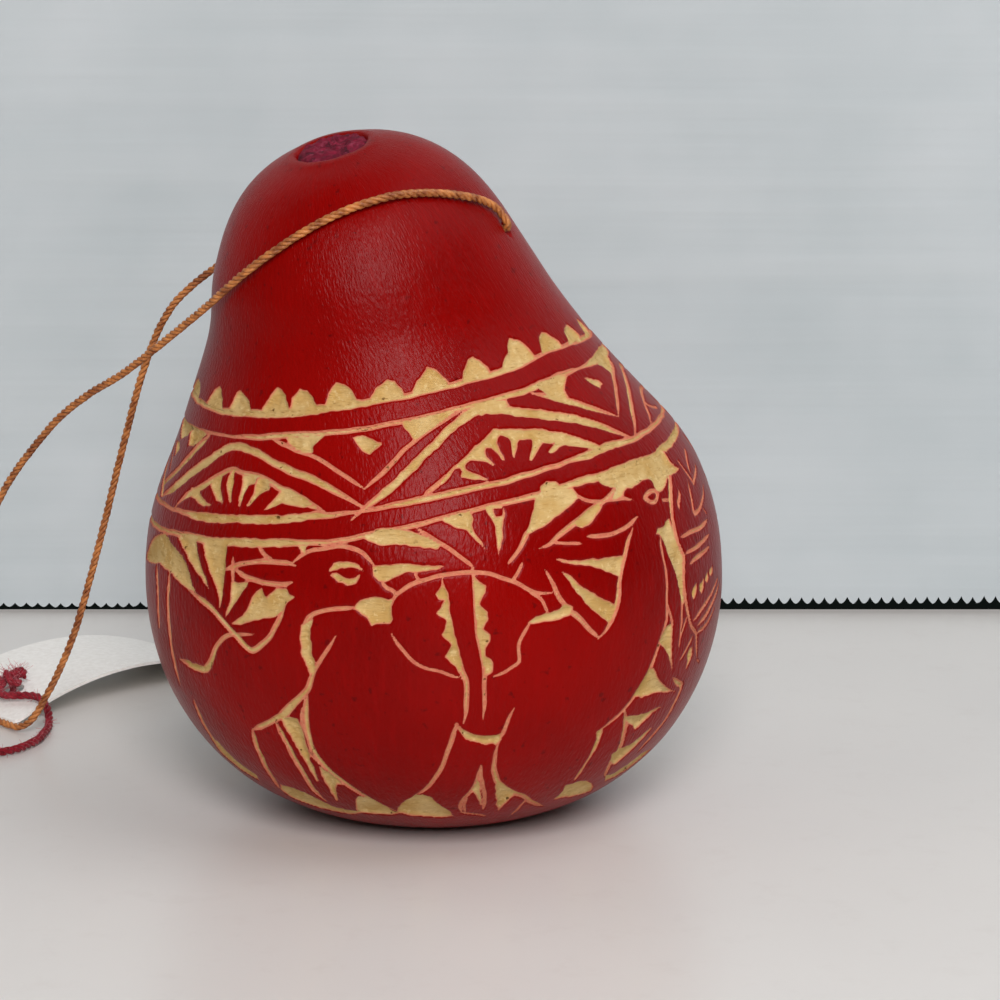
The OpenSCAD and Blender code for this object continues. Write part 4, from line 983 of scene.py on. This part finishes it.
def near(points):
    """The skin's points near some points, with their angles unwrapped round them."""
    mid = (points[:, 0].min() + points[:, 0].max()) / 2
    half = (points[:, 0].max() - points[:, 0].min()) / 2
    turned = (angle_cut - mid + 180) % 360 - 180
    beside = np.abs(turned) * per_degree < half * per_degree + REACH
    above = level_cut > points[:, 1].min() - REACH
    where = np.nonzero(beside & above & (level_cut < points[:, 1].max() + REACH))[0]
    return where, turned[where] + mid


def unrolled(point, where, a):
    """A place of the carving as seen from each of the skin's points, in millimetres along the skin."""
    return (point[0] - a) * per_degree[where], (point[1] - level_cut[where]) * slope[where]


def to_segment(start, end):
    """Distance from each of the skin's points to a segment, with the nearest place along it from 0 to 1."""
    (ax, ay), (bx, by) = start, end
    dx, dy = bx - ax, by - ay
    along = np.clip(-(ax * dx + ay * dy) / np.maximum(dx * dx + dy * dy, 1e-9), 0, 1)
    return np.hypot(ax + along * dx, ay + along * dy), along


def to_polygon(points, where, a):
    """Signed distance to a closed shape, less than nothing inside it."""
    best = np.full(len(where), REACH)
    inside = np.zeros(len(where), bool)
    for k in range(len(points)):
        start, end = unrolled(points[k], where, a), unrolled(points[(k + 1) % len(points)], where, a)
        best = np.minimum(best, to_segment(start, end)[0])
        (ax, ay), (bx, by) = start, end
        crosses = (ay > 0) != (by > 0)
        at_x = ax + (bx - ax) * np.where(crosses, -ay / np.where(by - ay == 0, 1, by - ay), 0)
        inside ^= crosses & (at_x > 0)
    return np.where(inside, -best, best)


# Signed distance to the edge of the nearest cut, less than nothing inside it
cut = np.full(len(angle), REACH)
# How broad the nearest cut is, from 0 for a thin line to 1
breadth = np.zeros(len(angle))
for points, widths in strokes:
    where, a = near(points)
    best, broad = np.full(len(where), REACH), np.zeros(len(where))
    for k in range(len(points) - 1):
        d, along = to_segment(unrolled(points[k], where, a), unrolled(points[k + 1], where, a))
        half = (widths[k] + along * (widths[k + 1] - widths[k])) / 2 + STROKE_EASE
        broad = np.where(d - half < best, half, broad)
        best = np.minimum(best, d - half)
    nearer = best < cut[where]
    breadth[where[nearer]] = smooth((broad[nearer] - 0.34) / 0.2)
    cut[where] = np.minimum(cut[where], best)
for points in fills:
    where, a = near(points)
    signed = to_polygon(points, where, a) - FILL_EASE
    breadth[where[signed < cut[where]]] = 1
    cut[where] = np.minimum(cut[where], signed)
# Broad cuts have a ragged edge
cut += 0.13 * soft_noise(1.25, 11) * breadth * smooth((0.9 - np.abs(cut)) / 0.5)
for points in spared:
    where, a = near(points)
    cut[where] = np.maximum(cut[where], -to_polygon(points, where, a))
# Distance to the lines of painted shade at the bottom of the deep level lines
groove_shade_off = np.full(len(angle), REACH)
for points in groove_shade_lines:
    where, a = near(points)
    for k in range(len(points) - 1):
        d = to_segment(unrolled(points[k], where, a), unrolled(points[k + 1], where, a))[0]
        groove_shade_off[where] = np.minimum(groove_shade_off[where], d)

# Gouged depth: steep sides, a shallow uneven floor
GOUGE_DEPTH, GOUGE_SIDE = 0.5, 0.28
inward = np.clip(-cut, 0, None)
chisel = soft_noise(1.6, 5)
depth = GOUGE_DEPTH * (1 - np.exp(-inward / GOUGE_SIDE)) * (1 + 0.22 * chisel * smooth(inward / 0.4))
ripple = 0.05 * soft_noise(0.16, 8) - 0.05
# The socket of the stem: a rounded lip that dips to the cork
SOCKET_R, SOCKET_DEPTH, LIP_R, LIP_H = 4.7, 2.3, 5.4, 0.16
off_crown = flat_points - CROWN_AT
from_crown = np.linalg.norm(off_crown - (off_crown @ NOD_TO)[:, None] * NOD_TO, axis=1)
on_top = level > 60
rim = from_crown + 0.25 * soft_noise(0.5, 9)
socket = np.where(on_top, SOCKET_DEPTH * smooth((SOCKET_R - rim) / 1.25), 0)
lip = np.where(on_top, LIP_H * np.exp(-(((rim - LIP_R) / 0.8) ** 2)), 0)
# The two holes of the cord
HOLE_R, HOLE_DEPTH = 0.85, 1.1
hole = np.minimum(*(np.linalg.norm(flat_points - at, axis=1) for at in (HOLE_RIGHT, HOLE_REAR)))
dimple = HOLE_DEPTH * smooth((HOLE_R - hole) / 0.4)
# The ground foot stays flat
stand = smooth((flat_points[:, 2] - 0.3) / 1.5)
relief = (ripple + lip - depth - dimple) * stand
skin_points = flat_points + normals * relief[:, None] - NOD_TO * socket[:, None]

FOOT_RINGS = (4.0, 8.5)
foot_rings = [placed(r, 0.0, turns) for r in FOOT_RINGS]
crown_ring = placed(0.06, HEIGHT, turns) - NOD_TO * SOCKET_DEPTH
verts = np.vstack([*foot_rings, skin_points, crown_ring])
ring_count = len(rows) + len(foot_rings) + 1

# Dyed rind: hard satin skin, deep red with brighter streaks and dark specks; cut down to pale dry shell
rind, t, s = new_material("dyed_carved_rind")
where = object_coords(t)
skin_mm = add(t, "Attribute", attribute_name="skin_mm").outputs["Vector"]
raw = add(t, "Attribute", attribute_name="cut").outputs["Fac"]
ragged = noise_at(t, where, 1500, 3, 0.6)
edge = maths(t, "ADD", raw, maths(t, "MULTIPLY", maths(t, "SUBTRACT", ragged, 0.5), 0.13))
carved = span(t, edge, 0.035, -0.035, 0, 1, True)
breadth_at = add(t, "Attribute", attribute_name="breadth").outputs["Fac"]
inner = span(t, maths(t, "SUBTRACT", edge, maths(t, "MULTIPLY", breadth_at, 0.12)), -0.13, -0.34, 0, 1, True)
cloud = noise_at(t, where, 38, 3, 0.55)
skin_red = mix(t, span(t, cloud, 0.35, 0.65), lin("#760100"), lin("#880200"))
streak = noise_at(t, stretched(t, skin_mm, (1.3, 1.3, 0.22)), 1.0, 3)
skin_red = mix(t, span(t, streak, 0.5, 0.8, 0, 0.35), skin_red, lin("#960303"))
specks = span(t, noise_at(t, where, 950, 2, 0.5), 0.66, 0.74)
skin_red = mix(t, maths(t, "MULTIPLY", specks, 0.6), skin_red, lin("#4E0204"))
gouge = noise_at(t, stretched(t, skin_mm, (0.7, 0.7, 3.2)), 1.0, 3, 0.6)
dry = mix(t, span(t, noise_at(t, where, 260, 3, 0.6), 0.35, 0.7), lin("#BC9758"), lin("#CFB37C"))
dry = mix(t, span(t, gouge, 0.54, 0.74, 0, 0.55), dry, lin("#977338"))
dapple = noise_at(t, where, 1250, 3, 0.7)
dry = mix(t, span(t, dapple, 0.56, 0.68, 0, 0.55), dry, lin("#DFC892"))
pink = mix(t, span(t, ragged, 0.35, 0.7), lin("#C66A54"), lin("#D08968"))
bare = mix(t, inner, pink, dry)
# Painted shade: a dark brown line along the bottom of the deep level lines, where their V-cut is in shade
painted_groove_shade = add(t, "Attribute", attribute_name="painted_groove_shade").outputs["Fac"]
painted_groove_shade = maths(t, "ADD", painted_groove_shade, maths(t, "MULTIPLY", noise_at(t, where, 300, 2), 0.12))
bare = mix(t, span(t, painted_groove_shade, 0.07, 0.12, 0.75, 0, True), bare, lin("#7C5A2C"))
pit_zone = maths(t, "MULTIPLY", span(t, raw, -0.03, -0.12, 0, 1), span(t, raw, -0.3, -0.55, 1, 0.25))
pits = maths(t, "MULTIPLY", span(t, noise_at(t, where, 900, 2, 0.6), 0.67, 0.74), pit_zone)
bare = mix(t, pits, bare, lin("#5E4018"))
plug(t, s, Base_Color=mix(t, carved, skin_red, bare))
plug(t, s, Roughness=span(t, carved, 0, 1, 0.3, 0.85))
plug(t, s, IOR=1.2, Specular_IOR_Level=0.37)
pores = noise_at(t, stretched(t, skin_mm, (2.6, 2.6, 1.0)), 1.0, 2, 0.5)
dents = noise_at(t, where, 480, 2, 0.5)
uneven = maths(t, "ADD", maths(t, "MULTIPLY", pores, 0.8), maths(t, "MULTIPLY", dents, 0.5))
skin_bump = bumped(t, uneven, 0.00012, 1.0)
wood_bump = bumped(t, gouge, 0.00018, 0.9)
# A Mix node of vectors has them at inputs 4 and 5
plug(t, s, Normal=add(t, "Mix", {0: carved, 4: skin_bump, 5: wood_bump}, data_type="VECTOR").outputs[1])

gourd_skin = mesh_object("gourd_skin", verts, ring_quads(ring_count, SECTORS), rind)
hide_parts("gourd_shell")
skin_mesh = gourd_skin.data
on_skin = {"cut": (cut, REACH), "painted_groove_shade": (groove_shade_off, REACH), "breadth": (breadth, 0.0)}
for name, (values, elsewhere) in on_skin.items():
    padding = [np.full(len(foot_rings) * SECTORS, elsewhere), np.full(SECTORS, elsewhere)]
    layer = skin_mesh.attributes.new(name, "FLOAT", "POINT")
    layer.data.foreach_set("value", np.concatenate([padding[0], values, padding[1]]).astype(np.float32))
# Places in millimetres round a cylinder and along the outline, so that the grain follows the skin
GRAIN_R = 30
run_mm = np.concatenate([np.array(FOOT_RINGS) - FOOT_R, rows, RUN[-1:]])
grain = np.broadcast_arrays(GRAIN_R * np.cos(turns), GRAIN_R * np.sin(turns), run_mm[:, None])
layer = skin_mesh.attributes.new("skin_mm", "FLOAT_VECTOR", "POINT")
layer.data.foreach_set("vector", np.stack(grain, axis=-1).ravel().astype(np.float32))
UV_EDGE = 0.002
turn_u, row_v = np.arange(SECTORS + 1) / SECTORS, (run_mm - run_mm[0]) / (run_mm[-1] - run_mm[0])
u0, v0 = np.meshgrid(turn_u[:-1], row_v[:-1])
u1, v1 = np.meshgrid(turn_u[1:], row_v[1:])
uv = np.stack([np.stack(corner, axis=-1) for corner in ((u0, v0), (u1, v0), (u1, v1), (u0, v1))], axis=2)
uv_layer = skin_mesh.uv_layers.new(name="OFBake")
uv_layer.data.foreach_set("uv", (UV_EDGE + (1 - 2 * UV_EDGE) * uv).ravel().astype(np.float32))

# Cork of the stem scar: dry, crumbly, stained plum by the dye
cork, t, s = new_material("stained_cork")
where = object_coords(t)
crumb = noise_at(t, where, 900, 4, 0.7)
fleck = noise_at(t, where, 420, 2, 0.6, 1.5)
base = mix(t, span(t, fleck, 0.35, 0.62), lin("#440819"), lin("#7E1630"))
plug(t, s, Base_Color=mix(t, span(t, crumb, 0.55, 0.75), base, lin("#A3435B")), Roughness=0.88)
plug(t, s, Specular_IOR_Level=0.25, Normal=bumped(t, crumb, 0.0004, 1.0))

SCAR_RINGS, SCAR_SECTORS, SCAR_R = 26, 72, 4.35
scar_points = []
side_x = unit(np.cross([0, 1, 0], NOD_TO))
side_y = np.cross(NOD_TO, side_x)
for r in np.linspace(0, SCAR_R, SCAR_RINGS):
    for a in np.linspace(0, 2 * np.pi, SCAR_SECTORS, endpoint=False):
        p = Vector((r * math.cos(a), r * math.sin(a), 0))
        rough = 0.34 * noise.noise(p * 1.1) + 0.26 * noise.noise(p * 2.6 + Vector((5, 2, 1)))
        # sunk in its middle, with a low ring, and dropping away at the edge
        h = -0.4 + 0.25 * math.exp(-(((r - 2.9) / 0.8) ** 2)) + rough - 0.9 * max(0, r - 3.8)
        scar_points.append(CROWN_AT + side_x * p.x + side_y * p.y + NOD_TO * h)
# The other way round, as these rings grow outwards
scar_quads = ring_quads(SCAR_RINGS, SCAR_SECTORS)[:, [0, 3, 2, 1]]
scar = mesh_object("stem_scar_cork", np.array(scar_points), scar_quads, cork)
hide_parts("stem_scar")

# Seed coats: smooth, pale tan to brown
seed_mat, t, s = new_material("seed_coat")
tone = noise_at(t, object_coords(t), 300, 3)
plug(t, s, Base_Color=mix(t, span(t, tone, 0.35, 0.65), lin("#B98E5A"), lin("#8C6236")), Roughness=0.5)
# Dried pith: spongy, matt, off-white
pith_mat, t, s = new_material("dried_pith")
tone = noise_at(t, object_coords(t), 500, 4, 0.7)
plug(t, s, Base_Color=mix(t, span(t, tone, 0.35, 0.65), lin("#D8C9A6"), lin("#B7A377")), Roughness=0.95)
plug(t, s, Normal=bumped(t, tone, 0.0006, 1.0))
# Card of the tag: uncoated white board with faint fibre
card_mat, t, s = new_material("tag_card")
fibres = noise_at(t, object_coords(t), 1400, 3, 0.6)
plug(t, s, Base_Color=mix(t, span(t, fibres, 0.35, 0.7), lin("#E9E6DF"), lin("#F4F2EC")), Roughness=0.55)
plug(t, s, Normal=bumped(t, fibres, 0.00003, 0.5))
for node_name, mat in (("dried_seeds", seed_mat), ("dried_pith", pith_mat), ("hang_tag", card_mat)):
    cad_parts[node_name].data.materials[0] = mat

# Floor: satin white board
floor_mat, t, s = new_material("floor_board")
where = object_coords(t)
stain = noise_at(t, where, 9, 3, 0.5)
grime = noise_at(t, where, 160, 4, 0.7)
base = mix(t, span(t, stain, 0.35, 0.7), lin("#D4D1CC"), lin("#DEDBD5"))
base = mix(t, span(t, grime, 0.55, 0.8, 0, 0.15), base, lin("#B9AFA6"))
plug(t, s, Base_Color=base, Roughness=0.32, Specular_IOR_Level=0.5)
# Wall: pale corrugated board, faint ribs across
wall_mat, t, s = new_material("wall_board")
where = object_coords(t)
ribs = noise_at(t, stretched(t, where, (6, 1, 160)), 1.0, 3)
patchy = noise_at(t, where, 24, 3, 0.6)
base = mix(t, span(t, patchy, 0.35, 0.7), lin("#B7C1C3"), lin("#C3CBCD"))
plug(t, s, Base_Color=mix(t, span(t, ribs, 0.4, 0.7, 0, 0.25), base, lin("#CBD2D3")), Roughness=0.75)
plug(t, s, Normal=bumped(t, ribs, 0.0006, 0.5))
# Under the wall: a near-black sheet behind its lower edge, as painted shade in the gap
gap_shade_mat, t, s = new_material("wall_gap_painted_shade")
plug(t, s, Base_Color=lin("#060D0B"), Roughness=0.95, Specular_IOR_Level=0.1)


def one_sided(mat):
    """Seen from behind, the board is clear, so that the back of the gourd shows from every side."""
    t = mat.node_tree
    output = next(n for n in t.nodes if n.type == "OUTPUT_MATERIAL")
    front = output.inputs["Surface"].links[0].from_socket
    behind = add(t, "NewGeometry").outputs["Backfacing"]
    clear = add(t, "BsdfTransparent").outputs[0]
    t.links.new(add(t, "MixShader", {0: behind, 1: front, 2: clear}).outputs[0], output.inputs["Surface"])


one_sided(wall_mat)
one_sided(gap_shade_mat)


def flat_piece(name, corners, mat):
    """A flat piece of the stage with its corners in metres."""
    mesh_object(name, np.array(corners) / MM, [tuple(range(len(corners)))], mat, body=None)


# The stage, in metres
SIDE, FLOOR_NEAR, FLOOR_FAR, WALL_TOP = 1.6, -1.2, 1.4, 1.6
WALL_Y = 0.0985
GAP_Y, GAP_LOW, GAP_HIGH = WALL_Y + 0.0017, 0.00001, 0.006
corners = ((-SIDE, FLOOR_NEAR), (SIDE, FLOOR_NEAR), (SIDE, FLOOR_FAR), (-SIDE, FLOOR_FAR))
flat_piece("floor", [(x, y, 0) for x, y in corners], floor_mat)
# The wall's lower edge is scalloped by its flutes where the picture shows it
FLUTE, FLUTES_FROM, FLUTES_TO = 0.00176, -0.19946, 0.2
teeth = []
hand = random.Random(77)
x = FLUTES_FROM
while x < FLUTES_TO:
    # The board stands a little higher towards the right
    low = 0.00106 + 0.0042 * x + hand.uniform(-1, 1) * 0.00008
    rise = 0.00086 + 0.0031 * x
    for share in (0, 0.15, 0.27, 0.37, 0.44, 0.5, 0.56, 0.63, 0.73, 0.85):
        lift = (1 - abs(2 * share - 1)) ** 1.8
        teeth.append((x + share * FLUTE, WALL_Y, low + lift * rise))
    x += FLUTE
ends = [(SIDE, WALL_Y, 0.0019), (SIDE, WALL_Y, WALL_TOP), (-SIDE, WALL_Y, WALL_TOP)]
flat_piece("wall", [(-SIDE, WALL_Y, 0.0002), *teeth, *ends], wall_mat)
# A near-black sheet behind the scalloped edge: painted shade in the gap under the wall
corners = ((-SIDE, GAP_LOW), (SIDE, GAP_LOW), (SIDE, GAP_HIGH), (-SIDE, GAP_HIGH))
flat_piece("wall_gap_painted_shade", [(x, GAP_Y, z) for x, z in corners], gap_shade_mat)

# Light
world = bpy.data.worlds.new("room")
bpy.context.scene.world = world
world.use_nodes = True
world.node_tree.nodes["Background"].inputs[0].default_value = lin("#F0EDE8")
world.node_tree.nodes["Background"].inputs[1].default_value = 0.14


def area_light(name, place, target, size, power, colour):
    """A soft light of a size in metres, aimed at a point."""
    data = bpy.data.lights.new(name, "AREA")
    data.energy = power
    data.color = lin(colour)[:3]
    data.shape = "RECTANGLE"
    data.size, data.size_y = size
    obj = bpy.data.objects.new(name, data)
    obj.location = place
    obj.rotation_euler = (Vector(target) - Vector(place)).to_track_quat("-Z", "Y").to_euler()
    collection.objects.link(obj)


area_light("key", (0.03, -0.72, 0.49), (0, 0, 0.05), (0.26, 0.4), 6.1, "#FBF6F8")
area_light("overhead", (0.58, -0.2, 0.9), (0.02, 0, 0), (0.8, 0.8), 4.1, "#F6F9FF")
area_light("left_fill", (-0.8, -0.5, 0.45), (0, 0, 0.04), (0.6, 0.6), 0.25, "#FFF4E8")

scene = bpy.context.scene
scene.view_settings.view_transform = "Standard"
scene.view_settings.look = "None"
